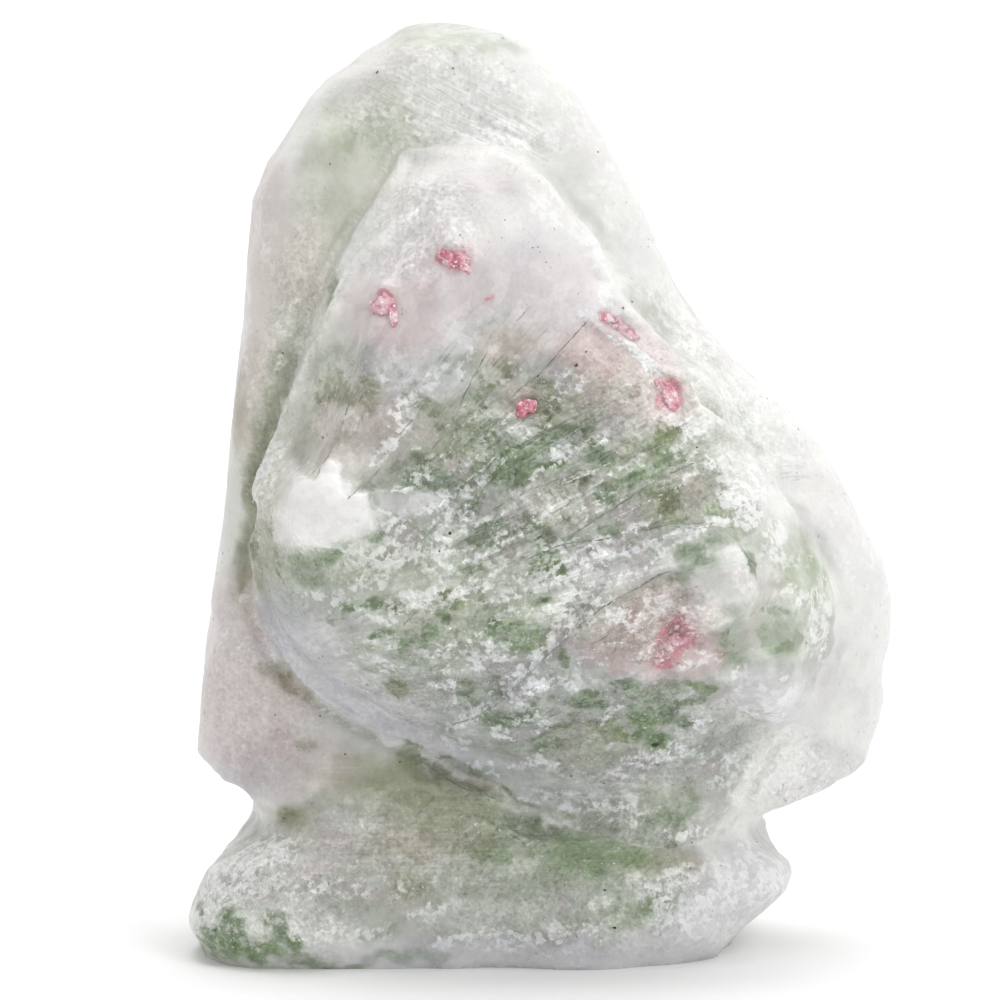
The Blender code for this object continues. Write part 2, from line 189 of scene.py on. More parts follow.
RIGHT_EDGE = (  # and on the right
    (529, 50), (539, 60), (567, 80), (582, 100), (594, 120), (617, 160), (640, 200), (656, 240),
    (674, 280), (701, 320), (739, 360), (782, 400), (818, 440), (843, 480), (861, 520), (883, 560),
    (892, 600), (891, 640), (884, 660), (882, 680), (884, 700), (880, 720), (873, 740), (867, 760),
    (864, 765), (854, 775), (841, 780), (835, 785), (818, 795), (798, 805), (781, 810), (768, 815),
    (767, 828), (771, 840), (778, 850), (789, 860), (792, 872), (788, 890), (778, 900), (767, 910),
    (743, 930), (720, 950), (707, 960),
)
EDGE_REACH = 0.28  # how far in from an edge the stone is drawn to it, as a share of the width
OUTLINE_ROWS = (60, 956, 3.0)  # from, to, step
OUTLINE_CROWN = (62, 84)  # the rows in which it fades in
OUTLINE_FOOT = (918, 948)  # and out again
KNOB = (  # a clean break through white stone, and the flat grey facet beside it
    (295, 483), (304, 478), (314, 482), (322, 468), (331, 460), (342, 466), (340, 479), (341, 491),
    (346, 500), (354, 495), (364, 497), (367, 508), (374, 520), (366, 530), (355, 533), (340, 536),
    (326, 543), (308, 547), (293, 540), (284, 528), (282, 512), (288, 496),
)
FACET = ((376, 494), (399, 493), (443, 496), (420, 512), (401, 520), (383, 504))
KNOB_HEIGHT, FACET_DEPTH = 0.28, 0.10
FACET_EDGE = (-3, 3)
KNOB_EDGE = 1.4  # the softness of its edge in px, and ovals in which it is that much softer
KNOB_SOFTER = ((306, 546, 60, 26, 7), (280, 510, 18, 40, 4), (372, 524, 22, 22, 5))
SCRATCH_FAN = (199, 690)  # the grinding scratches spread out from here
FAN_RADIUS = 34  # where a step round the fan is as long as one along it
SAW_SLANT = 27  # beside the boss the saw ran level, and slanted over the crown
CROWN_FOOT = 400  # the crown is above this row
GRAIN_OUT, GRAIN_ASIDE = 0.040, 0.070  # how far a grain moves each point, in millimetres


def merged_copy(name, node):
    """A copy of a CAD node's mesh, with its loose triangles merged."""
    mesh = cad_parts[node].data.copy()
    mesh.name = name
    shape = bmesh.new()
    shape.from_mesh(mesh)
    bmesh.ops.remove_doubles(shape, verts=shape.verts, dist=0.002 * MM)
    shape.to_mesh(mesh)
    shape.free()
    mesh.materials.clear()
    return mesh


def add_piece(name, mesh):
    made = bpy.data.objects.new(name, mesh)
    bpy.context.scene.collection.objects.link(made)
    return made


def apply_modifiers(obj):
    graph = bpy.context.evaluated_depsgraph_get()
    mesh = bpy.data.meshes.new_from_object(obj.evaluated_get(graph))
    obj.modifiers.clear()
    obj.data = mesh


def points_of(mesh):
    flat = np.empty(len(mesh.vertices) * 3, np.float32)
    mesh.vertices.foreach_get("co", flat)
    return flat.reshape(-1, 3).astype(float)


def normals_of(mesh):
    flat = np.empty(len(mesh.vertices) * 3, np.float32)
    mesh.vertex_normals.foreach_get("vector", flat)
    return flat.reshape(-1, 3).astype(float)


def move_points(mesh, points):
    mesh.vertices.foreach_set("co", points.astype(np.float32).ravel())
    mesh.update()


def ripples(points, size, seed):
    """Soft noise from -1 to 1, with lumps of about the given size in metres."""
    shift = Vector((seed * 7.3, seed * 3.1, seed * 5.7))
    return np.array([noise.noise(Vector(point) / size + shift) for point in points])


def ease(values, start, end):
    share = np.clip((values - start) / (end - start), 0, 1)
    return share * share * (3 - 2 * share)


def noise_at(places):
    return np.array([noise.noise(Vector(place)) for place in places])


def hump(distance, reach):
    """1 on a line, falling to 0 on both sides of it."""
    return np.exp(-((distance / reach) ** 2))


def near_line(places, line):
    """How far each seen place is from an open line, and on which side: above 0 to its right."""
    nearest = np.full(len(places), np.inf)
    side = np.zeros(len(places))
    for start, end in zip(np.array(line[:-1], float), np.array(line[1:], float)):
        along = end - start
        moved = places - start
        share = np.clip(moved @ along / (along @ along), 0, 1)
        gap = np.linalg.norm(moved - np.outer(share, along), axis=1)
        turned = along[0] * moved[:, 1] - along[1] * moved[:, 0]
        side = np.where(gap < nearest, np.sign(turned), side)
        nearest = np.minimum(nearest, gap)
    return nearest, side


def inside_rim(places, rim):
    """How far each seen place lies inside a closed rim, negative outside it."""
    rim = np.array(rim, float)
    inside = np.zeros(len(places), bool)
    for (ax, ay), (bx, by) in zip(rim, np.roll(rim, -1, axis=0)):
        spans = (ay > places[:, 1]) != (by > places[:, 1])
        crossing = ax + (places[:, 1] - ay) * (bx - ax) / (by - ay if by != ay else 1e-9)
        inside ^= spans & (places[:, 0] < crossing)
    return near_line(places, np.vstack([rim, rim[:1]]))[0] * np.where(inside, 1, -1)


def blot(places, across, down, half_across, half_down, turn=0):
    """A soft-edged oval as it is seen: 1 inside, falling to 0 round its edge."""
    turn = math.radians(turn)
    moved = places - np.array((across, down))
    along = moved[:, 0] * math.cos(turn) - moved[:, 1] * math.sin(turn)
    beside = moved[:, 0] * math.sin(turn) + moved[:, 1] * math.cos(turn)
    reach = np.sqrt((along / half_across) ** 2 + (beside / half_down) ** 2)
    return 1 - ease(reach, 0.55, 1.45)


def blots(places, listed):
    """The strongest of several ovals at each place, as a share."""
    found = np.zeros(len(places))
    for across, down, half_across, half_down, percent, *turn in listed:
        oval = blot(places, across, down, half_across, half_down, *turn)
        found = np.maximum(found, percent / 100 * oval)
    return found


stone = add_piece("stone", merged_copy("stone", "stone_matrix"))
filled = bmesh.new()
filled.from_mesh(stone.data)
for node in sorted(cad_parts):
    if node.startswith("pink_crystal"):
        before = set(filled.verts)
        filled.from_mesh(merged_copy("filling", node))
        added = [vertex for vertex in filled.verts if vertex not in before]
        middle = sum((vertex.co for vertex in added), Vector()) / len(added)
        for vertex in added:
            vertex.co = middle + (vertex.co - middle) * SEAT_FILLING + Vector((0, SEAT_FILLING_BACK, 0))
filled.to_mesh(stone.data)
filled.free()
remesh = stone.modifiers.new("even", "REMESH")
remesh.mode = "VOXEL"
remesh.voxel_size = STONE_VOXEL
soften = stone.modifiers.new("soften", "SMOOTH")
soften.iterations = STONE_SMOOTHING
apply_modifiers(stone)
back = np.where(normals_of(stone.data)[:, 1] > BACK_FACING)[0]
stone.vertex_groups.new(name="back").add(back.tolist(), 1.0, "REPLACE")
thin = stone.modifiers.new("coarser back", "DECIMATE")
thin.vertex_group = "back"
thin.ratio = BACK_SHARE
apply_modifiers(stone)
stone.vertex_groups.clear()
stone_low, stone_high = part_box("stone_matrix")

points, normals = points_of(stone.data), normals_of(stone.data)
places = seen(points)
front = ease(-normals[:, 1], *FRONT_FACING)
wander = np.zeros((len(points), 2))
for size, seed, reach in STRAYS:
    wander += np.stack([ripples(points, size, seed), ripples(points, size, seed + 1)], axis=1) * reach
rim_depth = inside_rim(places + wander * RIM_STRAY, BOSS_RIM)
on_boss = ease(rim_depth, *BOSS_EDGE)
ridge_gap, _ = near_line(places + wander * STEP_STRAY, INNER_RIDGE)

# the fan of scratches, as (distance round the fan, distance from its middle, depth) in millimetres
from_fan = places - np.array(SCRATCH_FAN, float)
round_fan = np.arctan2(-from_fan[:, 1], from_fan[:, 0]) * FAN_RADIUS
fan = np.stack([round_fan, np.hypot(*from_fan.T) * PIXEL / MM, points[:, 1] / MM], axis=1)
slant = np.radians(SAW_SLANT) * (places[:, 1] < CROWN_FOOT)
level = places[:, 0] * np.cos(slant) + places[:, 1] * np.sin(slant)
upright = places[:, 1] * np.cos(slant) - places[:, 0] * np.sin(slant)
sawn = np.stack([upright * PIXEL / MM, level * PIXEL / MM, points[:, 1] / MM], axis=1)
fan = np.where((rim_depth > 0)[:, None], fan, sawn)
combed = noise_at(fan / np.array(SCRATCH_SIZE))
scratched = blots(places + wander, SCRATCHED) * front
sugary = np.maximum(blots(places + wander, SUGARY) * front, SUGARY_BEHIND * (1 - front))
knob, facet = (inside_rim(places, outline) for outline in (KNOB, FACET))
smooth = np.maximum(ease(knob, *FACET_EDGE), 0.8 * ease(facet, *FACET_EDGE))
sugary *= 1 - 0.9 * smooth

# the relief, in millimetres
relief = SWELL_HEIGHT * ripples(points, SWELL_SIZE, 5) * (1 - blots(places, CALM))
relief += PIT_HEIGHT * ripples(points, PIT_SIZE, 6) * (0.3 + sugary)
relief += blots(places + wander * LUMP_STRAY, LUMPS) * front
relief -= blots(places + wander * LUMP_STRAY, DENTS) * front
worn_rim = 1 - blots(places, WORN_RIM)
relief += front * worn_rim * RIM_HEIGHT * hump(rim_depth - RIM_INSET, RIM_REACH)
groove = worn_rim * (GROOVE_DEPTH - blots(places, GROOVE_SHALLOWS))
relief -= front * groove * hump(rim_depth - GROOVE_INSET, GROOVE_REACH)
relief -= front * on_boss * WORN_DEPTH * (1 - worn_rim) * ease(rim_depth, WORN_REACH, 0)
relief += front * on_boss * INNER_RIDGE_HEIGHT * hump(ridge_gap, INNER_RIDGE_REACH)
relief += scratched * SCRATCH_HEIGHT * combed
relief += blots(places, TERRACES) * front * TERRACE_HEIGHT * noise_at(points / MM / np.array(TERRACE_SIZE))
for path, height, reach in STEPS:
    gap, side = near_line(places + wander * STEP_STRAY, path)
    edge = ease(gap, 0, STEP_EDGE)
    relief += front * hump(gap, reach) * height * np.where(side > 0, -edge, edge * 0.6)
seats = blots(places, SEATS) * front
relief = relief * (1 - 0.7 * seats) - SEAT_DEPTH * seats
blurred = KNOB_EDGE
for *where, softer in KNOB_SOFTER:
    blurred = blurred + softer * blot(places, *where)
knob, facet = (inside_rim(places + wander * KNOB_STRAY, outline) for outline in (KNOB, FACET))
relief += front * (KNOB_HEIGHT * ease(knob / blurred, -2, 2) - FACET_DEPTH * ease(facet, *FACET_EDGE))
points += normals * (relief * MM)[:, None]

# the outline is drawn in or out, row by row, to where the real one is
places = seen(points)
rows = np.arange(*OUTLINE_ROWS)
present = [places[np.abs(places[:, 1] - row) < 3, 0] for row in rows]
present = np.array([(across.min(), across.max()) for across in present])
present = sum(np.roll(present, step, axis=0) for step in range(-2, 3)) / 5
spread = np.stack([np.interp(places[:, 1], rows, side) for side in present.T])
share = (places[:, 0] - spread[0]) / (spread[1] - spread[0])
drawn = slice(2, -2)
for edge, now, inward in ((LEFT_EDGE, present[:, 0], share), (RIGHT_EDGE, present[:, 1], 1 - share)):
    across, down = np.array(edge, float).T
    off = (np.interp(rows, down, across) - now)[drawn]
    off *= ease(rows[drawn], *OUTLINE_CROWN) * (1 - ease(rows[drawn], *OUTLINE_FOOT))
    off = np.interp(places[:, 1], rows[drawn], off, left=0, right=0)
    points[:, 0] += off * (1 - ease(inward, 0, EDGE_REACH)) * PIXEL
places = seen(points)
knob, facet = (inside_rim(places + wander * KNOB_COLOUR_STRAY, outline) for outline in (KNOB, FACET))
move_points(stone.data, points)

# the sugary grain: each small face stands at its own slight angle, like a broken crystal's
shuffle = np.random.default_rng(11)
normals = normals_of(stone.data)
sideways = 1 - ease(np.abs(normals[:, 1]), *SIDE_FACING)
grainy = ((0.12 + 0.88 * sugary) * (1 - 0.65 * sideways))[:, None]
points += normals * shuffle.normal(0, GRAIN_OUT * MM, (len(points), 1)) * grainy
points += shuffle.uniform(-GRAIN_ASIDE, GRAIN_ASIDE, points.shape) * MM * grainy
points[:, 2] = np.where(points[:, 2] < BASE_FLAT, np.maximum(stone_low.z, 0), points[:, 2])
points = np.clip(points, np.array(stone_low), np.array(stone_high))
move_points(stone.data, points)
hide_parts("stone_matrix")
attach(stone, "root")


# ---- The stone: its colours -------------------------------------------------------------------
# White calcite with clouds of a clear green mineral under it, bruised white where it was struck or
# sawn. Each colour is laid on as listed soft ovals, on the boss and beside it.
DEEP = (  # where the dark, clear mineral shows, on the boss; the thin ovals along its lower edge are partly painted shadow under it
    (336, 286, 10, 22, 80, -28), (332, 380, 14, 12, 72), (350, 395, 34, 13, 74), (369, 388, 18, 14, 70),
    (372, 406, 11, 10, 64), (320, 396, 12, 9, 75), (350, 354, 26, 14, 40), (305, 440, 18, 36, 50),
    (455, 366, 22, 9, 55, 10), (495, 365, 16, 13, 75), (488, 381, 14, 12, 85), (511, 343, 32, 14, 48, 10),
    (466, 318, 26, 16, 20), (503, 328, 24, 18, 40), (543, 388, 14, 17, 92), (552, 403, 17, 9, 85, -20),
    (577, 400, 20, 10, 50, 20), (596, 385, 24, 10, 48), (570, 366, 30, 12, 18, 30),
    (474, 402, 20, 14, 90, 10), (432, 408, 20, 11, 75, 10), (414, 390, 10, 14, 50),
    (452, 425, 24, 12, 70, 20), (465, 445, 38, 26, 76, 20), (440, 462, 30, 16, 80),
    (518, 462, 24, 26, 98, -30), (502, 478, 14, 12, 95), (548, 467, 22, 8, 97, 15),
    (541, 412, 18, 26, 88, -20), (578, 430, 26, 14, 78, 20), (585, 447, 18, 14, 92),
    (602, 461, 13, 11, 90), (625, 484, 12, 10, 100), (602, 495, 22, 13, 86, 15),
    (574, 481, 14, 8, 90, 20), (640, 450, 30, 14, 62), (657, 440, 9, 13, 100), (668, 435, 12, 9, 100),
    (672, 461, 22, 9, 96, 10), (650, 471, 26, 8, 95, 15), (665, 500, 20, 22, 92),
    (680, 510, 26, 8, 46, 25), (700, 505, 16, 7, 45, 20), (420, 480, 26, 12, 80), (398, 470, 14, 10, 62),
    (455, 480, 22, 12, 76, 20), (364, 474, 12, 9, 55, 20), (470, 507, 26, 9, 70, 40),
    (490, 529, 26, 12, 70, 20), (470, 545, 15, 6, 88, 15), (535, 526, 26, 16, 80, 10),
    (515, 546, 30, 10, 45, 15), (546, 538, 15, 10, 80), (605, 532, 22, 7, 100, 18),
    (582, 536, 12, 6, 85, 10), (666, 523, 30, 5, 100, 12), (635, 541, 10, 8, 90),
    (475, 565, 24, 16, 66, 10), (549, 565, 22, 15, 94, -10), (545, 598, 9, 7, 92), (450, 600, 15, 8, 84),
    (443, 618, 11, 6, 85), (505, 630, 28, 14, 88), (531, 641, 26, 16, 86, -10), (520, 608, 30, 14, 50),
    (495, 600, 26, 14, 46), (425, 578, 30, 14, 20), (390, 560, 34, 14, 30), (360, 605, 23, 8, 96, 10),
    (341, 612, 14, 8, 66, 20), (395, 610, 13, 8, 90), (384, 633, 16, 8, 84), (403, 642, 10, 7, 70),
    (372, 652, 10, 8, 60), (430, 640, 22, 15, 56, -10), (404, 657, 14, 8, 60), (400, 689, 13, 9, 80),
    (375, 676, 30, 14, 42), (438, 680, 18, 14, 50), (466, 700, 14, 22, 58, 15), (459, 664, 14, 10, 50),
    (491, 677, 7, 7, 100), (490, 690, 22, 12, 60), (563, 660, 9, 8, 100), (530, 695, 20, 9, 20),
    (557, 700, 14, 9, 62), (490, 722, 26, 16, 78), (521, 716, 15, 10, 84), (505, 745, 15, 13, 60),
    (546, 745, 20, 14, 80), (537, 761, 18, 10, 60), (590, 700, 20, 10, 86), (592, 738, 26, 18, 64),
    (622, 690, 16, 14, 92), (600, 720, 18, 10, 62), (560, 722, 22, 12, 62), (650, 718, 28, 12, 98),
    (640, 728, 18, 9, 100), (672, 708, 20, 9, 92, 10), (622, 736, 14, 9, 90), (655, 741, 16, 8, 100),
    (686, 725, 10, 8, 90), (695, 700, 12, 10, 80), (701, 688, 14, 7, 100), (575, 765, 44, 10, 66),
    (620, 756, 30, 9, 55), (712, 738, 32, 14, 42, 10), (744, 728, 20, 9, 56, 20), (690, 752, 30, 10, 48),
    (700, 555, 27, 14, 82), (681, 578, 16, 7, 74, 30), (722, 543, 22, 8, 74), (748, 562, 5, 20, 92, 34),
    (716, 480, 15, 24, 44, 20), (726, 500, 10, 9, 66), (716, 516, 15, 8, 80), (700, 462, 12, 8, 34),
    (792, 545, 14, 12, 30), (806, 567, 12, 24, 34, 24), (815, 590, 9, 15, 30, 10), (762, 636, 9, 12, 50),
    (781, 647, 15, 8, 50), (764, 608, 16, 6, 60, 15), (801, 626, 8, 15, 35), (785, 616, 18, 12, 35),
    (724, 637, 7, 7, 100), (720, 652, 8, 14, 62), (731, 656, 9, 9, 66), (640, 590, 30, 10, 42, 25),
    (655, 590, 14, 7, 70, 10), (596, 625, 14, 10, 32, 30), (606, 650, 10, 10, 40), (262, 545, 12, 28, 80),
    (275, 556, 11, 20, 72), (284, 490, 12, 15, 45), (258, 578, 12, 14, 66), (310, 559, 24, 10, 80),
    (331, 556, 14, 8, 86), (345, 540, 20, 6, 82, 5), (375, 535, 15, 5, 82), (315, 580, 24, 9, 85),
    (325, 600, 40, 14, 25), (435, 765, 20, 7, 92, -35), (415, 752, 15, 8, 90, -20),
    (470, 779, 28, 9, 98, -22), (500, 792, 20, 8, 80, -15), (665, 800, 16, 9, 62), (676, 811, 20, 12, 74),
    (668, 843, 10, 6, 95), (692, 800, 16, 7, 62), (700, 786, 30, 9, 55, 15), (655, 822, 22, 10, 66),
    (590, 790, 50, 12, 30), (610, 812, 50, 9, 42), (545, 812, 30, 7, 55, -10), (420, 345, 24, 20, 18),
    (575, 520, 24, 10, 45, 10), (640, 515, 18, 8, 60, 20), (760, 545, 16, 10, 40), (490, 455, 16, 12, 70),
    (540, 452, 20, 10, 75, 20), (520, 445, 26, 9, 70, 20), (475, 375, 20, 12, 50), (500, 450, 24, 14, 70),
    (530, 458, 18, 12, 90, 20), (650, 695, 20, 12, 75), (575, 700, 18, 12, 60), (670, 690, 16, 10, 60),
    (602, 826, 36, 9, 62, 8), (650, 834, 26, 9, 58), (560, 816, 26, 7, 60, -8), (372, 484, 16, 8, 50),
    (396, 486, 14, 6, 50), (655, 495, 20, 12, 90, 10), (515, 450, 26, 12, 80, 20), (495, 372, 26, 16, 70),
    (655, 660, 20, 8, 50, 10), (580, 615, 18, 8, 50, 20), (500, 460, 50, 26, 60, 30),
    (540, 440, 40, 12, 80, 30), (480, 440, 30, 14, 85, 40), (640, 478, 24, 10, 85, 20),
    (500, 540, 26, 10, 70, 20), (345, 432, 26, 10, 45, 40), (440, 372, 20, 12, 40, 40),
    (490, 510, 40, 12, 26, 30), (448, 764, 20, 7, 50, -22), (474, 770, 24, 7, 55, -12),
    (345, 606, 14, 10, 80, -20), (428, 636, 14, 10, 80), (464, 695, 12, 18, 80, 10),
    (415, 665, 12, 8, 62),
)
DEEP_BESIDE = (  # the same, round the boss; under the boss's lower edge and in the band below it, partly painted shadow
    (296, 328, 10, 22, 41, -14), (284, 370, 13, 32, 50, -12), (273, 405, 13, 28, 48, -8),
    (262, 440, 14, 40, 30, -6), (254, 490, 12, 42, 30, -4), (247, 540, 12, 32, 40),
    (238, 580, 14, 24, 46), (305, 300, 10, 16, 28, -20), (333, 215, 18, 42, 24, -14),
    (352, 165, 26, 40, 21, -10), (372, 130, 30, 22, 29), (390, 141, 20, 14, 38, 20),
    (400, 112, 24, 17, 41), (345, 124, 16, 14, 24), (410, 100, 26, 11, 30), (400, 86, 36, 10, 26),
    (430, 105, 16, 8, 24), (451, 115, 22, 6, 14, -18), (472, 126, 26, 8, 12, -22),
    (450, 137, 34, 6, 8, -5), (500, 126, 32, 12, 10, -20), (532, 148, 22, 14, 12, -40),
    (440, 74, 44, 14, 7, -10), (482, 60, 30, 20, 5, -30), (492, 90, 32, 20, 6, -20),
    (580, 195, 16, 34, 19, 40), (612, 245, 13, 30, 21, 30), (641, 295, 14, 13, 32),
    (656, 316, 15, 15, 32), (671, 342, 9, 22, 31, 40), (700, 386, 9, 24, 31, 40), (726, 418, 16, 15, 37),
    (752, 450, 9, 22, 30, 42), (772, 470, 10, 20, 22, 40), (792, 515, 14, 20, 25, 36),
    (828, 548, 8, 24, 27, 20), (285, 685, 15, 10, 86, -20), (272, 672, 12, 10, 66),
    (311, 700, 26, 7, 72, -36), (341, 714, 22, 7, 62, -28), (366, 730, 20, 7, 56, -26),
    (308, 744, 13, 9, 78), (400, 762, 30, 12, 72, -20), (420, 772, 26, 12, 59, -20),
    (452, 790, 26, 10, 53, -30), (372, 783, 18, 7, 66), (409, 796, 22, 10, 68), (440, 811, 24, 7, 56),
    (440, 834, 34, 16, 50), (476, 806, 24, 12, 61, -20), (455, 846, 26, 10, 78), (490, 817, 16, 9, 67),
    (515, 824, 26, 9, 74, -10), (546, 832, 26, 12, 90, -10), (577, 838, 26, 10, 70),
    (582, 856, 32, 14, 74), (606, 851, 24, 12, 70), (624, 857, 32, 11, 62), (560, 869, 26, 9, 61),
    (505, 858, 15, 9, 73), (480, 852, 22, 10, 85), (520, 877, 34, 10, 43), (556, 884, 26, 9, 50),
    (600, 880, 26, 8, 38), (660, 866, 34, 10, 33), (580, 903, 14, 7, 53), (575, 922, 26, 12, 41),
    (540, 912, 30, 12, 33), (615, 906, 18, 9, 71, 25), (641, 905, 16, 8, 68), (630, 921, 16, 9, 68, 40),
    (656, 904, 10, 8, 61), (672, 898, 14, 12, 35), (460, 936, 22, 13, 40), (600, 940, 30, 9, 26),
    (290, 816, 17, 11, 92), (312, 806, 14, 8, 52, 20), (316, 826, 14, 9, 48), (410, 884, 17, 15, 78),
    (430, 902, 16, 8, 49), (400, 920, 16, 6, 58, 20), (375, 868, 40, 10, 36), (350, 906, 44, 11, 44),
    (325, 885, 24, 9, 40), (380, 936, 24, 8, 62, 10), (235, 935, 18, 14, 95), (255, 951, 34, 9, 96, -6),
    (272, 920, 16, 11, 82), (281, 936, 12, 14, 80), (294, 946, 6, 14, 90), (226, 918, 12, 12, 88),
    (200, 905, 6, 18, 74, 8), (228, 896, 15, 8, 70, 20), (248, 880, 26, 12, 36, 30),
    (310, 961, 34, 7, 95, -4), (395, 957, 36, 8, 70, 4), (433, 955, 16, 7, 61), (350, 966, 30, 5, 85),
    (330, 935, 26, 8, 36), (720, 815, 20, 16, 28), (330, 850, 60, 8, 32, -4), (500, 895, 40, 12, 35),
    (500, 840, 26, 10, 85, -10), (470, 870, 40, 8, 40), (650, 885, 30, 8, 40), (440, 890, 30, 12, 40),
    (610, 890, 26, 12, 45), (215, 935, 14, 16, 100), (214, 950, 22, 10, 100), (225, 945, 20, 10, 100),
    (530, 850, 30, 10, 70, -8), (560, 850, 30, 10, 70), (640, 858, 30, 9, 60), (670, 852, 30, 7, 45),
    (620, 860, 44, 12, 90), (600, 868, 40, 9, 70), (530, 846, 40, 9, 60), (440, 768, 26, 7, 60, -30),
    (476, 792, 26, 7, 70, -22), (416, 756, 16, 6, 80, -25), (350, 782, 26, 7, 50),
    (385, 775, 22, 8, 62, -20), (420, 800, 24, 8, 72),
)
VIVID = (  # where the green is a clear leaf green
    (300, 345, 40, 80, 45, -14), (570, 200, 60, 90, 45, 36), (740, 440, 60, 60, 45, 40),
    (420, 60, 100, 30, 75), (660, 438, 20, 14, 100), (670, 460, 24, 10, 60, 10), (716, 516, 18, 10, 80),
    (390, 135, 60, 40, 75), (345, 200, 40, 80, 60, -14), (450, 100, 120, 50, 100), (325, 556, 36, 16, 60),
    (345, 540, 30, 10, 70), (360, 605, 26, 12, 60), (395, 612, 16, 10, 50), (510, 632, 46, 24, 55),
    (548, 566, 24, 16, 50), (460, 585, 60, 40, 55), (781, 645, 20, 14, 50), (640, 730, 40, 20, 50),
    (701, 688, 16, 8, 60), (630, 912, 34, 18, 80), (255, 935, 60, 30, 70), (590, 855, 70, 18, 75),
    (505, 858, 20, 10, 70), (290, 815, 18, 12, 10), (665, 805, 40, 20, 40), (700, 555, 30, 16, 40),
    (255, 450, 30, 130, 35, -6), (530, 470, 60, 30, 35), (645, 475, 50, 20, 40, 10),
    (650, 310, 30, 80, 30, -40), (806, 575, 24, 40, 90, 20), (782, 630, 34, 30, 30),
    (755, 535, 30, 24, 50), (500, 600, 70, 40, 60), (370, 130, 70, 56, 100), (290, 260, 40, 80, 50, -10),
    (370, 565, 40, 26, 60), (420, 640, 80, 40, 45), (340, 590, 70, 40, 40), (560, 860, 110, 24, 45),
    (430, 800, 90, 30, 40, -14), (400, 770, 60, 24, 40, -20), (352, 606, 22, 12, 70),
)
OLIVE = (  # where it is a brownish olive
    (336, 286, 14, 24, 50, -28), (345, 390, 44, 22, 70), (495, 372, 22, 18, 70),
    (511, 343, 36, 18, 70, 10), (546, 404, 26, 28, 55), (590, 395, 60, 26, 32), (570, 360, 44, 26, 32),
    (640, 448, 30, 12, 50), (672, 502, 40, 22, 60, 20), (430, 425, 60, 40, 35),
    (285, 685, 30, 18, 70, -20), (308, 744, 20, 14, 20), (410, 790, 90, 34, 75, -10),
    (440, 835, 60, 26, 80), (410, 884, 24, 20, 50), (350, 200, 60, 90, 80), (262, 430, 30, 130, 80, -6),
    (625, 610, 60, 26, 6, 10), (590, 740, 40, 26, 50), (400, 690, 20, 14, 50), (455, 600, 24, 16, 40),
    (320, 440, 40, 44, 40), (660, 866, 50, 14, 60), (290, 815, 26, 16, 80), (300, 290, 50, 80, 50, -14),
    (400, 115, 60, 36, 60), (255, 520, 30, 90, 70), (560, 850, 120, 30, 10),
)
VEIL = (  # where the white is clouded and half clear, on the boss
    (500, 470, 170, 105, 84, 28), (620, 500, 120, 66, 88, 24), (460, 590, 160, 52, 62, 5),
    (540, 640, 150, 50, 82), (570, 720, 150, 54, 82), (660, 742, 110, 48, 76),
    (430, 660, 110, 50, 70, -10), (400, 430, 70, 50, 60), (325, 425, 56, 64, 46), (352, 372, 60, 44, 52),
    (470, 352, 90, 40, 32), (580, 352, 70, 40, 38, -10), (625, 385, 60, 40, 50, -30),
    (632, 640, 80, 44, 66), (650, 598, 60, 26, 62, 10), (790, 625, 60, 76, 60), (790, 556, 50, 46, 50),
    (708, 802, 90, 40, 46), (620, 800, 120, 30, 66), (500, 786, 80, 26, 74, -12), (300, 582, 60, 50, 66),
    (330, 640, 60, 36, 40, -30), (268, 540, 26, 64, 36), (430, 745, 70, 26, 40, -18),
    (350, 330, 34, 40, 30), (690, 690, 50, 24, 66), (730, 640, 24, 40, 92), (770, 690, 40, 34, 26),
    (560, 470, 70, 40, 95, 25), (650, 520, 90, 30, 92, 15), (400, 345, 60, 40, 24),
    (520, 300, 60, 40, 12), (750, 750, 60, 30, 30, 20), (720, 520, 40, 26, 95), (480, 365, 30, 18, 66),
    (560, 440, 40, 24, 95, 20), (600, 555, 60, 20, 70, 20), (580, 690, 50, 22, 95),
    (640, 545, 50, 18, 88, 15), (712, 592, 34, 34, 45), (806, 575, 24, 40, 62, 20),
    (400, 330, 34, 26, 42), (305, 345, 20, 24, 45), (500, 380, 22, 16, 60), (470, 185, 60, 26, 26),
    (630, 828, 90, 22, 66), (376, 486, 24, 10, 75), (680, 400, 24, 26, 55), (600, 500, 50, 16, 95, 30),
    (480, 440, 60, 20, 96, 30), (640, 480, 50, 20, 96, 20), (440, 600, 40, 20, 75),
    (784, 630, 34, 30, 90), (375, 566, 40, 24, 78), (418, 302, 26, 20, 30), (440, 372, 26, 18, 46),
    (345, 630, 26, 12, 62), (430, 690, 40, 14, 74), (385, 655, 30, 16, 72),
)
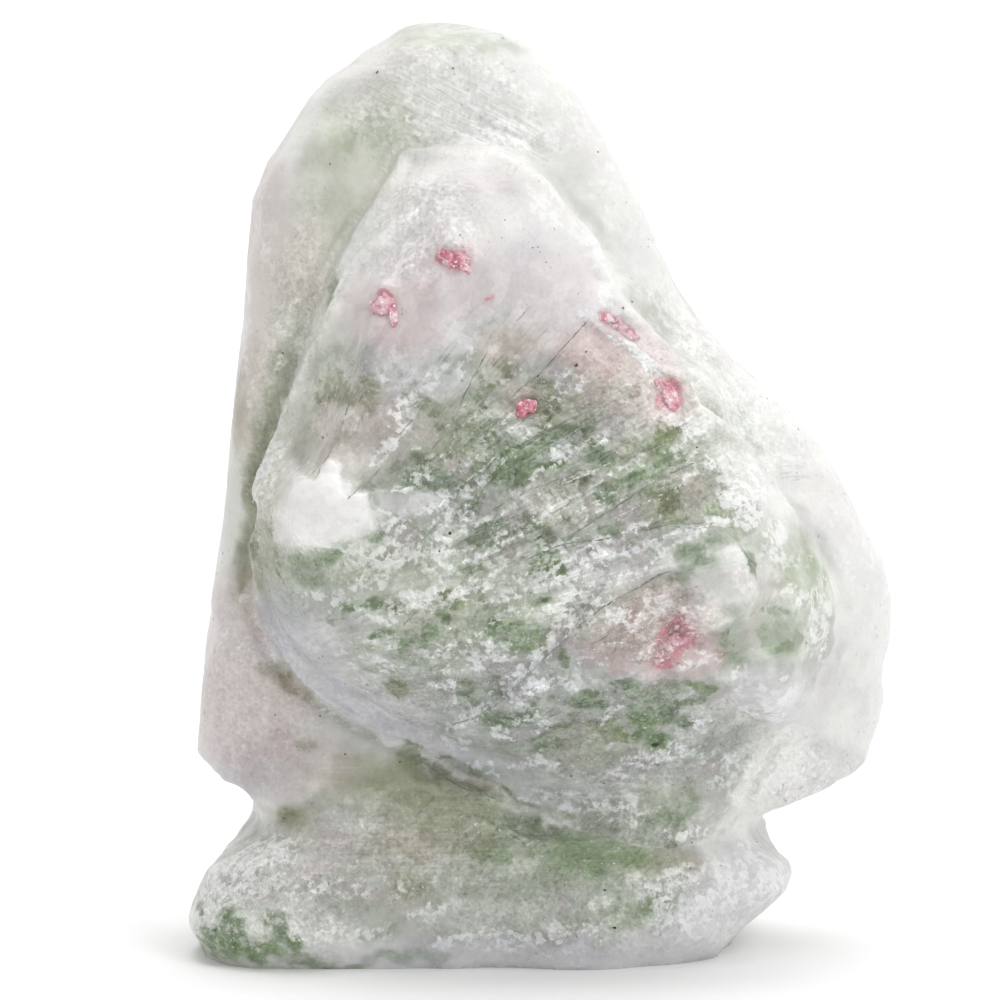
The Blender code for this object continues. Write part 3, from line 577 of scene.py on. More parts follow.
VEIL_BESIDE = (  # the same, round the boss
    (285, 375, 16, 40, 46, -10), (272, 415, 16, 40, 66, -8), (262, 460, 16, 50, 72, -6),
    (254, 510, 14, 50, 70), (246, 560, 14, 40, 76), (232, 600, 16, 30, 34), (340, 205, 26, 66, 38, -16),
    (362, 140, 40, 34, 30, -10), (404, 108, 70, 36, 14, -6), (474, 108, 50, 30, 2, -20),
    (530, 150, 30, 26, 5, -40), (440, 70, 60, 22, 4, -10), (590, 210, 26, 60, 14, 36),
    (650, 308, 24, 50, 36, 40), (700, 385, 22, 50, 26, 42), (735, 428, 20, 30, 34, 40),
    (800, 530, 20, 60, 26, 34), (430, 806, 110, 44, 80, -12), (560, 850, 120, 36, 90, -4),
    (560, 905, 130, 44, 66), (420, 895, 130, 56, 64), (290, 872, 90, 44, 42), (640, 900, 80, 46, 42),
    (300, 760, 90, 46, 46), (250, 948, 60, 20, 50), (480, 948, 240, 12, 26), (712, 860, 56, 50, 28),
    (480, 40, 90, 26, 10), (275, 230, 30, 90, 22, 5), (252, 400, 16, 60, 30), (235, 700, 40, 90, 24),
    (760, 880, 40, 50, 24), (850, 700, 40, 90, 26), (870, 740, 20, 60, 20), (600, 130, 30, 40, 5, 30),
    (320, 820, 60, 30, 52), (262, 900, 50, 40, 30), (360, 770, 40, 20, 60, -10),
    (318, 170, 26, 80, 36, -16), (480, 36, 90, 20, 36), (270, 840, 60, 24, 62), (440, 880, 40, 20, 76),
    (640, 885, 50, 20, 74), (690, 315, 30, 30, 14), (240, 410, 12, 50, 50), (840, 770, 40, 40, 34),
    (420, 845, 80, 20, 80), (790, 800, 30, 20, 30), (232, 640, 20, 60, 20), (460, 34, 90, 20, 52),
    (290, 290, 26, 60, 30, -8), (250, 600, 30, 40, 34), (470, 75, 80, 30, 3, -20),
    (700, 345, 26, 50, 32, 40), (640, 890, 70, 26, 70), (540, 890, 60, 20, 80), (450, 885, 60, 16, 80),
    (850, 690, 50, 90, 14), (340, 140, 20, 16, 50), (300, 262, 24, 50, 34, -10),
    (705, 400, 20, 24, 40, 40), (360, 800, 50, 20, 75), (650, 860, 60, 20, 80), (262, 880, 50, 20, 56),
    (245, 728, 20, 26, 42),
)
LAVENDER = (  # where the boss is worn smooth and looks a cold grey
    (288, 640, 60, 30, 90, -62), (315, 672, 50, 24, 90, -45), (360, 708, 60, 22, 90, -28),
    (420, 742, 70, 20, 90, -22), (480, 760, 50, 16, 70, -14), (320, 630, 40, 40, 50),
    (560, 795, 70, 16, 60), (640, 768, 60, 16, 50, 15), (400, 690, 70, 40, 45, -20),
    (590, 665, 40, 20, 50), (560, 340, 60, 50, 40), (450, 300, 90, 40, 40), (420, 360, 40, 50, 50, 30),
    (545, 280, 50, 60, 42), (775, 695, 40, 34, 45), (500, 500, 60, 20, 25, 35), (560, 450, 20, 12, 50),
    (460, 500, 60, 20, 25), (560, 700, 150, 60, 55), (640, 740, 90, 40, 50), (500, 760, 90, 30, 60, -10),
    (620, 545, 90, 24, 30, 20), (400, 330, 40, 30, 45), (480, 190, 60, 26, 25),
    (390, 350, 30, 50, 45, -14),
)
LAVENDER_BESIDE = (  # the same, round the boss
    (250, 775, 60, 24, 60, -20), (240, 755, 30, 20, 50), (520, 955, 200, 20, 70),
    (700, 920, 60, 34, 45, 20), (760, 870, 40, 40, 50), (850, 700, 50, 90, 20),
)
BLUSH = (  # where it is stained pink, on the boss
    (440, 275, 70, 50, 34), (400, 310, 50, 44, 50), (480, 200, 90, 50, 16), (540, 290, 70, 50, 22),
    (588, 350, 42, 24, 66, -10), (580, 368, 7, 13, 74), (612, 368, 18, 12, 60),
    (645, 355, 44, 30, 42, -20), (662, 402, 34, 34, 44), (610, 395, 44, 20, 16), (521, 402, 22, 18, 30),
    (513, 345, 34, 20, 30), (620, 645, 38, 26, 55), (606, 625, 30, 20, 22, 30), (676, 640, 40, 38, 70),
    (673, 643, 21, 40, 100, -30), (704, 652, 18, 18, 60), (660, 603, 34, 12, 60, 10),
    (457, 270, 24, 18, 40), (488, 297, 7, 6, 86), (540, 500, 40, 20, 22, 20), (575, 520, 30, 12, 18, 20),
    (350, 440, 44, 44, 20), (300, 505, 40, 40, 10), (740, 500, 30, 26, 10), (760, 580, 30, 20, 16),
    (590, 560, 40, 14, 12, 25), (453, 260, 20, 15, 90), (385, 308, 16, 22, 90),
    (612, 323, 17, 10, 85, -10), (631, 335, 11, 8, 85, -20), (668, 396, 17, 20, 90),
    (523, 408, 14, 14, 55), (660, 630, 52, 44, 60), (690, 660, 30, 18, 60), (560, 640, 20, 14, 20),
    (400, 330, 36, 26, 40),
)
BLUSH_BESIDE = (  # the same, round the boss
    (232, 640, 40, 60, 34), (250, 720, 60, 50, 42), (225, 740, 30, 30, 30), (290, 760, 60, 40, 26),
    (262, 230, 30, 80, 34), (250, 330, 20, 80, 30), (375, 60, 60, 24, 16, 20), (600, 140, 40, 60, 8, 40),
    (700, 320, 60, 40, 10, -40), (630, 320, 14, 20, 20), (850, 470, 50, 60, 8), (350, 850, 90, 24, 16),
    (300, 850, 60, 30, 10), (300, 262, 26, 50, 22, -10), (246, 400, 12, 50, 26, -3),
)
FROST = (  # where it is bruised white, on the boss
    (318, 512, 38, 28, 66), (340, 498, 28, 24, 66), (300, 522, 18, 16, 55), (300, 470, 22, 16, 45, 30),
    (283, 455, 14, 22, 40), (366, 502, 20, 10, 30), (340, 468, 16, 12, 30, 30), (300, 538, 16, 9, 50),
    (394, 503, 26, 9, 20), (420, 505, 44, 9, 72, 8), (372, 482, 20, 8, 20, 30),
    (405, 240, 28, 10, 80, 10), (375, 262, 22, 10, 50, 40), (470, 222, 22, 12, 60),
    (416, 404, 46, 8, 42, 60), (386, 448, 30, 8, 62, 45), (400, 372, 12, 40, 22, 10),
    (470, 352, 36, 7, 45, 65), (372, 350, 18, 24, 20), (405, 330, 40, 20, 12), (456, 295, 30, 14, 24),
    (440, 350, 22, 12, 20), (510, 372, 24, 16, 40, 20), (555, 448, 18, 9, 38, 20),
    (490, 472, 26, 10, 34, 40), (468, 490, 36, 6, 51, 38), (514, 495, 8, 11, 30, 20),
    (546, 502, 26, 12, 30, 10), (584, 514, 30, 8, 22, 25), (440, 520, 40, 8, 33, 25),
    (500, 515, 40, 5, 22, 28), (560, 485, 40, 4, 36, 26), (590, 505, 40, 4, 33, 28),
    (640, 490, 44, 4, 14, 28), (470, 420, 40, 5, 30, 48), (530, 430, 40, 5, 30, 36),
    (505, 418, 14, 12, 28), (430, 560, 34, 14, 34, 10), (380, 560, 34, 18, 36), (370, 580, 26, 14, 42),
    (402, 540, 24, 10, 50, 10), (458, 557, 26, 8, 41, 25), (470, 590, 44, 5, 52, 15),
    (545, 580, 44, 6, 50, 22), (600, 562, 44, 10, 59, 22), (652, 546, 36, 7, 45, 18),
    (690, 533, 30, 5, 53, 12), (722, 522, 18, 5, 66), (592, 576, 22, 10, 60, 20),
    (576, 600, 26, 13, 45, 20), (558, 612, 14, 12, 45), (570, 628, 20, 8, 66, 45),
    (542, 655, 34, 6, 55, 42), (512, 680, 30, 6, 66, 38), (470, 714, 26, 6, 54, 28),
    (450, 690, 5, 22, 49, 15), (440, 655, 26, 10, 38), (375, 640, 22, 10, 36), (350, 655, 24, 18, 33),
    (380, 665, 26, 8, 36, -20), (480, 650, 30, 9, 34, 10), (742, 500, 26, 24, 70),
    (760, 484, 20, 10, 66, -40), (752, 518, 12, 12, 80), (776, 532, 12, 12, 70), (726, 470, 14, 16, 62),
    (692, 430, 16, 13, 60), (676, 424, 14, 10, 40), (739, 566, 12, 14, 50, 20), (748, 586, 12, 10, 42),
    (762, 600, 22, 9, 28), (734, 612, 18, 9, 25), (714, 585, 26, 28, 10), (792, 588, 22, 7, 60, -28),
    (805, 602, 8, 12, 80), (772, 556, 18, 14, 52), (776, 690, 28, 22, 45), (762, 710, 32, 9, 50, -10),
    (740, 680, 12, 20, 50), (592, 662, 26, 9, 37, 10), (576, 682, 20, 8, 41, 20),
    (610, 712, 16, 8, 41, 20), (505, 735, 13, 10, 51), (540, 726, 14, 7, 43), (492, 768, 26, 9, 48, -10),
    (455, 745, 30, 8, 49, -15), (700, 722, 16, 9, 46), (660, 755, 40, 9, 48, 12), (560, 796, 54, 9, 45),
    (622, 778, 30, 7, 41, 10), (640, 355, 36, 5, 92, -30), (660, 372, 16, 6, 62, -40),
    (603, 272, 9, 40, 92, 20), (612, 300, 9, 10, 92), (560, 205, 30, 50, 50, 40), (480, 165, 60, 18, 15),
    (700, 430, 14, 12, 40), (660, 600, 34, 7, 36, 15), (700, 640, 14, 22, 12), (640, 636, 40, 5, 20, 15),
    (790, 560, 30, 16, 40), (820, 620, 14, 50, 50), (700, 840, 30, 10, 33), (740, 780, 26, 30, 50),
    (255, 505, 10, 30, 30, -14), (270, 470, 10, 24, 30, -14), (655, 655, 26, 10, 40, 20),
    (700, 660, 22, 14, 45), (640, 612, 30, 10, 40, 15), (690, 615, 14, 18, 35),
    (500, 560, 30, 14, 20, 15), (540, 575, 30, 12, 42, 20), (500, 535, 34, 8, 20, 20),
    (560, 545, 30, 6, 40, 20), (380, 612, 34, 12, 45), (420, 600, 26, 12, 55), (535, 690, 24, 10, 70, 20),
    (500, 600, 26, 9, 50, 15), (490, 660, 30, 9, 45, 20), (600, 805, 50, 10, 40, 5),
    (440, 460, 14, 10, 30, 40), (530, 765, 40, 6, 50), (420, 225, 44, 30, 55, 20), (690, 834, 26, 9, 50),
    (632, 818, 30, 6, 45, 10), (790, 622, 10, 10, 35), (430, 540, 20, 12, 45, 10),
    (620, 615, 20, 10, 40, 20), (466, 322, 34, 18, 22), (522, 298, 10, 22, 36, -24),
    (389, 362, 16, 34, 22), (430, 382, 9, 44, 40, -40), (452, 364, 7, 34, 32, -40),
    (594, 314, 26, 12, 42), (490, 350, 8, 30, 32, -38), (350, 420, 30, 10, 25, 30),
    (400, 410, 10, 26, 45, -20), (378, 248, 20, 34, 42, -35), (415, 548, 24, 14, 40),
    (690, 482, 20, 6, 42, 28), (520, 674, 26, 12, 35, 20), (560, 636, 20, 10, 35, 20),
    (480, 715, 24, 10, 30, 20), (720, 760, 24, 12, 30), (596, 610, 20, 12, 45, 20),
    (400, 358, 14, 40, 20, -14), (478, 560, 60, 3, 60, 26), (455, 590, 70, 3, 60, 24),
    (640, 566, 60, 3, 60, 24), (540, 520, 60, 3, 55, 30), (600, 545, 70, 3, 60, 26),
    (480, 630, 60, 3, 50, 28), (560, 462, 60, 3, 45, 30), (620, 470, 50, 3, 30, 30),
    (470, 455, 50, 3, 30, 44), (440, 430, 60, 4, 35, 50), (360, 242, 18, 24, 40, -30),
    (480, 478, 26, 5, 42, 30), (478, 525, 24, 5, 50, 30), (404, 480, 22, 8, 34, 30),
    (404, 524, 24, 10, 60, 10), (552, 400, 16, 10, 30, 20), (680, 452, 14, 8, 34, 20),
    (440, 684, 16, 10, 30), (520, 716, 20, 8, 34, 10), (600, 790, 24, 8, 34), (386, 556, 30, 16, 55),
    (470, 520, 16, 10, 40, 30), (410, 482, 26, 7, 50, 30), (330, 600, 30, 12, 50),
    (286, 442, 12, 30, 20, -16), (596, 612, 20, 14, 35, 10), (480, 320, 26, 20, 26),
    (520, 362, 20, 14, 30, 20), (566, 384, 24, 12, 34, 20), (440, 196, 50, 26, 30),
    (362, 238, 12, 42, 75, -32), (350, 262, 10, 26, 60, -30), (395, 250, 34, 26, 50, -30),
    (702, 460, 14, 12, 50),
)
FROST_BESIDE = (  # the same, round the boss; thick in the groove under the crown, partly as painted light against its shade
    (430, 45, 130, 26, 14), (560, 110, 44, 60, 42, 40), (620, 190, 40, 80, 38, 28),
    (690, 320, 34, 70, 45, 40), (770, 420, 40, 70, 50, 40), (860, 560, 46, 110, 35, 10),
    (850, 720, 60, 90, 22), (800, 780, 50, 30, 30, 15), (760, 870, 36, 44, 50), (700, 900, 60, 44, 44),
    (690, 940, 60, 14, 36, 15), (262, 210, 14, 70, 42, 8), (246, 330, 9, 90, 44, 3),
    (310, 110, 50, 24, 16, 45), (230, 870, 50, 30, 60, 40), (262, 856, 44, 18, 62, 10),
    (206, 920, 10, 30, 30), (345, 935, 60, 14, 46), (480, 940, 60, 14, 44), (560, 935, 60, 12, 40),
    (330, 888, 90, 14, 30), (525, 850, 26, 9, 15, -20), (600, 880, 40, 8, 15, -10), (640, 882, 34, 8, 28),
    (515, 112, 26, 12, 36, -20), (470, 100, 60, 6, 46, -22), (440, 125, 60, 4, 50, -16),
    (288, 330, 6, 60, 30, -10), (250, 600, 16, 20, 30), (225, 640, 26, 14, 34, -25),
    (600, 905, 14, 8, 46), (655, 925, 26, 12, 20), (420, 915, 40, 9, 42, 15), (502, 138, 34, 14, 85),
    (450, 138, 40, 8, 50, -6), (686, 882, 24, 14, 45), (560, 960, 60, 10, 30), (320, 880, 40, 8, 24),
    (470, 106, 80, 26, 42, -20), (450, 84, 70, 18, 42, -20), (500, 134, 50, 12, 40, -14),
    (540, 130, 30, 16, 40, -30), (500, 90, 36, 20, 44, -24), (352, 150, 22, 30, 20, -10),
    (384, 118, 24, 16, 26), (562, 182, 18, 30, 24, 36),
)
PAINTED_LIGHT_LIFTS = (  # where painted light brightens shaded faces: on the upper boss and in the groove under the crown
    (375, 246, 30, 46, 55, -30), (412, 180, 22, 26, 50, -30), (480, 214, 74, 24, 42),
    (470, 118, 70, 24, 50, -18), (500, 90, 40, 20, 35, -24),
)
BROKEN = (  # where the stone is a mosaic of small broken faces
    (540, 462, 185, 105, 100, 30), (520, 595, 150, 55, 95, 8), (600, 700, 150, 56, 90),
    (480, 680, 80, 40, 70, 20), (255, 930, 50, 30, 70), (590, 856, 80, 30, 35), (650, 910, 40, 20, 60),
    (640, 625, 90, 50, 80), (470, 350, 60, 30, 60, 20), (690, 500, 50, 50, 90),
    (420, 390, 50, 40, 50, 40), (780, 625, 40, 40, 100), (370, 400, 70, 70, 60), (620, 815, 100, 40, 55),
    (450, 330, 60, 30, 45), (560, 345, 60, 40, 45), (455, 776, 56, 18, 85, -28), (390, 640, 80, 56, 80),
    (460, 305, 120, 56, 50),
)
KNOB_COLOURS = {  # how strong each is on the white knob and on the grey facet beside it
    "frost": (0.62, 0.30), "deep": (0, 0), "veil": (0, 0.48), "lavender": (0, 0.45), "broken": (0, 0),
}
KNOB_WORN = ((350, 532, 34, 26, 0.45), (284, 512, 14, 40, 0.5))
# how far frost may go past 1, which the grains painted white as glints reach
MOST_FROST = 1.6
RIDGE_FROST, RIDGE_FROST_REACH = 0.55, 3.5  # the inner ridge is frosted down to its foot, a white that is partly painted highlight on its crest
RIDGE_FOOT = 480
RIM_FROST, RIM_FROST_REACH = 0.45, 3  # and so is the boss's rim, on the left, partly as painted highlight
RIM_FOOT, RIM_RIGHT = 600, 400

SNOWY, CHALKY = (0.80, 0.795, 0.765), (0.76, 0.755, 0.745)
OLIVE_TINGE, LEAF_TINGE = (0.62, 0.595, 0.47), (0.70, 0.755, 0.64)
WORN_GREY = (0.46, 0.455, 0.52)
CLOUDED, CLOUDED_WARM = (0.325, 0.370, 0.300), (0.42, 0.395, 0.38)
CLOUDED_OLIVE, CLOUDED_LEAF, CLOUDED_COLD = (0.38, 0.345, 0.25), (0.335, 0.425, 0.245), (0.365, 0.37, 0.40)
DARK_GREEN, CLEAR_GREEN = (0.105, 0.145, 0.08), (0.29, 0.35, 0.255)
DARK_OLIVE, DARK_LEAF = (0.25, 0.225, 0.12), (0.165, 0.265, 0.085)
PINK_STAIN, RED_STAIN = (0.60, 0.29, 0.31), (0.54, 0.145, 0.20)
BRUISED, BRUISED_COLD = (0.85, 0.855, 0.84), (0.79, 0.80, 0.86)
# the first is the knob's white and painted light on shaded faces, the last the white of painted glints
MILK_AND_PAINTED_LIGHT, CRUSHED_WHITE, PAINTED_GLINT_WHITE = (0.93, 0.915, 0.905), (0.80, 0.805, 0.79), (0.96, 0.96, 0.96)
FURROW_DARK = (0.21, 0.245, 0.17)
BROAD_PATCH, SMALL_PATCH = 11 * MM, 4 * MM
GRAIN_SIZE = 0.45 * MM
LIGHT_DEPTH = 0.7 * MM


def mark(mesh, name, values):
    """Keeps a value for each point, which a material reads by its name."""
    kept = mesh.attributes.new(name, "FLOAT", "POINT")
    values = np.clip(values, 0, MOST_FROST if name == "frost" else 1)
    kept.data.foreach_set("value", values.astype(np.float32))


def keep_colours(mesh, nearest=slice(None), changes=None):
    """Keeps the stone's colours and scratches on a mesh, each point taking its nearest point's."""
    for name, values in colours.items():
        mark(mesh, name, values[nearest] + (changes or {}).get(name, 0))
    kept = mesh.attributes.new("fan", "FLOAT_VECTOR", "POINT")
    kept.data.foreach_set("vector", fan[nearest].astype(np.float32).ravel())


def laid_on(on_the_boss, beside_it):
    found = blots(shifted, on_the_boss) * on_boss
    return np.maximum(found, blots(shifted, beside_it) * (1 - on_boss)) * front


places = seen(points)
shifted = places + wander
crest = RIDGE_FROST * hump(ridge_gap, RIDGE_FROST_REACH) * on_boss * (places[:, 1] < RIDGE_FOOT)
on_rim = hump(rim_depth - RIM_FROST_REACH, RIM_FROST_REACH)
crest += RIM_FROST * on_rim * (places[:, 1] < RIM_FOOT) * (places[:, 0] < RIM_RIGHT)
crest *= front

# behind, where nothing listed is laid on, soft noise of two sizes takes its place
behind = 1 - front
broad = ripples(points, BROAD_PATCH, 21)
patches = ripples(points, SMALL_PATCH, 22)
colours = {
    "deep": laid_on(DEEP, DEEP_BESIDE) + behind * np.clip(0.15 + broad + 0.5 * patches, 0, 0.75),
    "vivid": blots(shifted, VIVID) * front + behind * np.clip(patches, 0, 0.5),
    "olive": blots(shifted, OLIVE) * front + behind * np.clip(0.3 - broad, 0, 0.6),
    "veil": laid_on(VEIL, VEIL_BESIDE) + behind * np.clip(0.35 + 0.6 * broad, 0.1, 0.7),
    "lavender": laid_on(LAVENDER, LAVENDER_BESIDE) + behind * np.clip(0.2 - broad, 0, 0.4),
    "blush": laid_on(BLUSH, BLUSH_BESIDE) + behind * np.clip(-0.1 - broad, 0, 0.35),
    "frost": laid_on(FROST, FROST_BESIDE) + crest + behind * np.clip(0.22 + 0.3 * patches, 0, 0.5),
    "sugary": sugary * (1 - 0.6 * sideways),
    "scratched": scratched,
    "broken": blots(shifted, BROKEN) * front + 0.5 * behind,
}
on_knob, on_facet = ease(knob / blurred, -2, 1.5) * front, ease(facet, -2, 1.5) * front
for name, (of_knob, of_facet) in KNOB_COLOURS.items():
    colours[name] = colours[name] * (1 - on_knob) + of_knob * on_knob
    colours[name] = colours[name] * (1 - on_facet) + of_facet * on_facet
white_knob = on_knob
for *where, worn in KNOB_WORN:
    white_knob = white_knob * (1 - worn * blot(places, *where))
# the knob's own white, and painted light that brightens faces left in shade
colours["white_knob_and_painted_light"] = np.maximum(white_knob, blots(shifted, PAINTED_LIGHT_LIFTS) * front)
keep_colours(stone.data)


def tree_of(material):
    material.use_nodes = True
    tree = material.node_tree
    return tree, tree.nodes["Principled BSDF"]


def fill(tree, node, inputs):
    """Links or sets a node's inputs, which are given by name or number."""
    for name, value in inputs.items():
        if isinstance(value, bpy.types.NodeSocket):
            tree.links.new(value, node.inputs[name])
        else:
            node.inputs[name].default_value = value


def add(tree, kind, inputs=None, **settings):
    made = tree.nodes.new("ShaderNode" + kind)
    for name, value in settings.items():
        setattr(made, name, value)
    fill(tree, made, inputs or {})
    return made


def attribute(tree, name, output="Fac"):
    return add(tree, "Attribute", attribute_name=name).outputs[output]


def maths(tree, operation, first, second=0.0, third=0.0):
    return add(tree, "Math", {0: first, 1: second, 2: third}, operation=operation).outputs[0]


def times(tree, value, factor):
    return maths(tree, "MULTIPLY", value, factor)


def swung(tree, texture, reach, middle=1.0):
    """The middle value, moved up and down by a texture that runs from 0 to 1."""
    return maths(tree, "MULTIPLY_ADD", maths(tree, "SUBTRACT", texture, 0.5), reach, middle)


def between(tree, share, first, second):
    """A number that goes from the first to the second with the share."""
    return add(tree, "Mix", {0: share, 2: first, 3: second}).outputs[0]


def ramp(tree, value, start, end, low=0.0, high=1.0):
    """The value eased from low at start to high at end."""
    inputs = {"Value": value, "From Min": start, "From Max": end, "To Min": low, "To Max": high}
    return add(tree, "MapRange", inputs, interpolation_type="SMOOTHSTEP").outputs[0]


def blend(tree, share, under, over):
    """One colour laid over another. A colour is a socket, or its red, green and blue."""
    under, over = ((*value, 1) if isinstance(value, tuple) else value for value in (under, over))
    return add(tree, "Mix", {0: share, 6: under, 7: over}, data_type="RGBA").outputs[2]


def noisy(tree, place, scale, detail, roughness=0.5):
    """Soft noise about 0.5, with so many lumps to a metre."""
    inputs = {"Vector": place, "Scale": scale, "Detail": detail, "Roughness": roughness}
    return add(tree, "TexNoise", inputs).outputs["Fac"]


def stretched(tree, place, scale):
    return add(tree, "Mapping", {"Vector": place, "Scale": scale}).outputs[0]


def waxy(tree, shader, colour, normal, roughness, weight, radius, bending):
    """Finishes a stone that lets light in a little way, by shares of red, green and blue."""
    shader.subsurface_method = "BURLEY"
    fill(tree, shader, {"Base Color": colour, "Normal": normal, "Roughness": roughness, "IOR": bending})
    light = {"Subsurface Weight": weight, "Subsurface Radius": radius, "Subsurface Scale": LIGHT_DEPTH}
    fill(tree, shader, light)


def patchy(tree, amount, texture, contrast, soft, angular=None):
    """Turns an amount into patches of the texture that cover about that share of the surface."""
    swing = swung(tree, texture, contrast)
    if angular is not None:
        swing = swung(tree, angular, 1.1, swing)
    return ramp(tree, times(tree, amount, swing), 0.5 - soft, 0.5 + soft)


def sugar_grain():
    """Grains of calcite: a facet's normal, a tone for each grain, and a mask of the few painted as glints."""
    group = bpy.data.node_groups.new("sugar grain", "ShaderNodeTree")
    for name in ("Size", "Tilt"):
        group.interface.new_socket(name, in_out="INPUT", socket_type="NodeSocketFloat")
    for name in ("Tone", "Glint"):
        group.interface.new_socket(name, in_out="OUTPUT", socket_type="NodeSocketFloat")
    group.interface.new_socket("Normal", in_out="OUTPUT", socket_type="NodeSocketVector")
    given = group.nodes.new("NodeGroupInput")
    result = group.nodes.new("NodeGroupOutput")
    place = add(group, "TexCoord").outputs["Object"]
    scale = maths(group, "DIVIDE", 1.0, given.outputs["Size"])
    random = add(group, "TexVoronoi", {"Vector": place, "Scale": scale}).outputs["Color"]
    parts = add(group, "SeparateColor", {"Color": random})
    tilt = add(group, "VectorMath", {0: random, 1: (0.5, 0.5, 0.5)}, operation="SUBTRACT").outputs[0]
    tilt = add(group, "VectorMath", {0: tilt, "Scale": given.outputs["Tilt"]}, operation="SCALE").outputs[0]
    facing = add(group, "NewGeometry").outputs["Normal"]
    leaning = add(group, "VectorMath", {0: facing, 1: tilt}, operation="ADD").outputs[0]
    normal = add(group, "VectorMath", {0: leaning}, operation="NORMALIZE").outputs[0]
    group.links.new(parts.outputs["Red"], result.inputs["Tone"])
    group.links.new(ramp(group, parts.outputs["Green"], 0.955, 0.965), result.inputs["Glint"])
    group.links.new(normal, result.inputs["Normal"])
    return group


grain_group = sugar_grain()

marble = bpy.data.materials.new("sugary marble")
tree, shader = tree_of(marble)
place = add(tree, "TexCoord").outputs["Object"]
deep, vivid, olive, veil = (attribute(tree, name) for name in ("deep", "vivid", "olive", "veil"))
cold, blush, frost = (attribute(tree, name) for name in ("lavender", "blush", "frost"))
rough, scraped, broken = (attribute(tree, name) for name in ("sugary", "scratched", "broken"))
fan_place = attribute(tree, "fan", "Vector")

# clouds, flakes and pepper in the stone, and streaks and hairs that follow the scratches
misty = noisy(tree, place, 240, 4, 0.64)
cloudy = noisy(tree, place, 430, 4, 0.68)
peppery = noisy(tree, place, 2900, 3, 0.7)
streak = noisy(tree, stretched(tree, fan_place, (1.9, 0.20, 0.3)), 1, 4, 0.66)
hair = noisy(tree, stretched(tree, fan_place, (4.8, 0.13, 0.4)), 1, 2)
flaky = between(tree, times(tree, scraped, 0.42), noisy(tree, place, 880, 4, 0.72), streak)
shards = add(tree, "TexVoronoi", {"Vector": stretched(tree, fan_place, (1.25, 0.62, 1.0)), "Scale": 1.0})
shards = add(tree, "SeparateColor", {"Color": shards.outputs["Color"]}).outputs
leaning = maths(tree, "MULTIPLY_ADD", rough, 0.36, 0.04)
grain = add(tree, "Group", {"Size": GRAIN_SIZE, "Tilt": leaning}, node_tree=grain_group).outputs

# the white stone, and the same clouded and half clear
pale = blend(tree, ramp(tree, misty, 0.38, 0.62), SNOWY, CHALKY)
pale = blend(tree, times(tree, olive, 0.35), pale, OLIVE_TINGE)
pale = blend(tree, times(tree, vivid, 0.24), pale, LEAF_TINGE)
pale = blend(tree, times(tree, cold, ramp(tree, cloudy, 0.40, 0.62, 0.50, 0.80)), pale, WORN_GREY)
clouded = blend(tree, ramp(tree, misty, 0.47, 0.62), CLOUDED, CLOUDED_WARM)
clouded = blend(tree, times(tree, olive, 0.8), clouded, CLOUDED_OLIVE)
clouded = blend(tree, times(tree, vivid, 0.7), clouded, CLOUDED_LEAF)
clouded = blend(tree, times(tree, cold, 0.60), clouded, CLOUDED_COLD)
pale = blend(tree, times(tree, patchy(tree, veil, misty, 2.8, 0.46), 0.92), pale, clouded)

# the dark, clear mineral: angular where the stone is broken, and soft clouds elsewhere
clearer = maths(tree, "SUBTRACT", 1.0, broken)
clearer = maths(tree, "MULTIPLY_ADD", clearer, 0.35, ramp(tree, flaky, 0.42, 0.60))
dark = blend(tree, swung(tree, shards["Green"], 0.5, clearer), DARK_GREEN, CLEAR_GREEN)
dark = blend(tree, times(tree, olive, 0.62), dark, DARK_OLIVE)
dark = blend(tree, times(tree, vivid, 0.58), dark, DARK_LEAF)
angular = between(tree, times(tree, broken, 0.55), grain["Tone"], shards["Red"])
spots = patchy(tree, times(tree, deep, 0.96), cloudy, 5.0, 0.22, angular)
spots = times(tree, spots, ramp(tree, deep, 0.25, 0.95, 0.50, 0.97))
clouds = maths(tree, "MAXIMUM", times(tree, deep, swung(tree, cloudy, 2.4)), 0.0)
clouds = maths(tree, "POWER", clouds, 1.4)
colour = blend(tree, between(tree, broken, times(tree, clouds, 0.85), spots), pale, dark)

# the pink stain, the white bruises, and the knob's white with painted light that brightens shaded faces
stain = add(tree, "MapRange", {"Value": blush, "To Max": 0.50}).outputs[0]
colour = blend(tree, stain, colour, PINK_STAIN)
reddest = patchy(tree, ramp(tree, blush, 0.66, 1.0, 0.0, 0.72), flaky, 4.0, 0.30, grain["Tone"])
colour = blend(tree, times(tree, reddest, 0.62), colour, RED_STAIN)
flecks = maths(tree, "MULTIPLY_ADD", rough, 0.20, times(tree, frost, 0.88))
flecks = patchy(tree, flecks, flaky, 4.8, 0.18, grain["Tone"])
flecks = times(tree, flecks, ramp(tree, frost, 0.0, 1.1, 0.46, 0.95))
colour = blend(tree, flecks, colour, blend(tree, cold, BRUISED, BRUISED_COLD))
painted_lift_and_knob_white = times(tree, attribute(tree, "white_knob_and_painted_light"), ramp(tree, flaky, 0.38, 0.62, 0.62, 0.95))
colour = blend(tree, painted_lift_and_knob_white, colour, MILK_AND_PAINTED_LIGHT)

# darker hair lines along the scratches and scratches that are crushed white, and painted glints:
# white specks in the colour for the gleam of small faces
furrow = times(tree, ramp(tree, hair, 0.61, 0.68), times(tree, scraped, 0.50))
furrow = times(tree, furrow, ramp(tree, misty, 0.46, 0.58))
colour = blend(tree, furrow, colour, FURROW_DARK)
crushed = times(tree, ramp(tree, hair, 0.40, 0.30), times(tree, scraped, 0.36))
colour = blend(tree, crushed, colour, CRUSHED_WHITE)
# painted glints: small white specks in the colour, where light would glint off grain faces
painted_glint_specks = times(tree, ramp(tree, peppery, 0.66, 0.72), ramp(tree, misty, 0.46, 0.56))
colour = blend(tree, times(tree, times(tree, painted_glint_specks, rough), 0.85), colour, PAINTED_GLINT_WHITE)

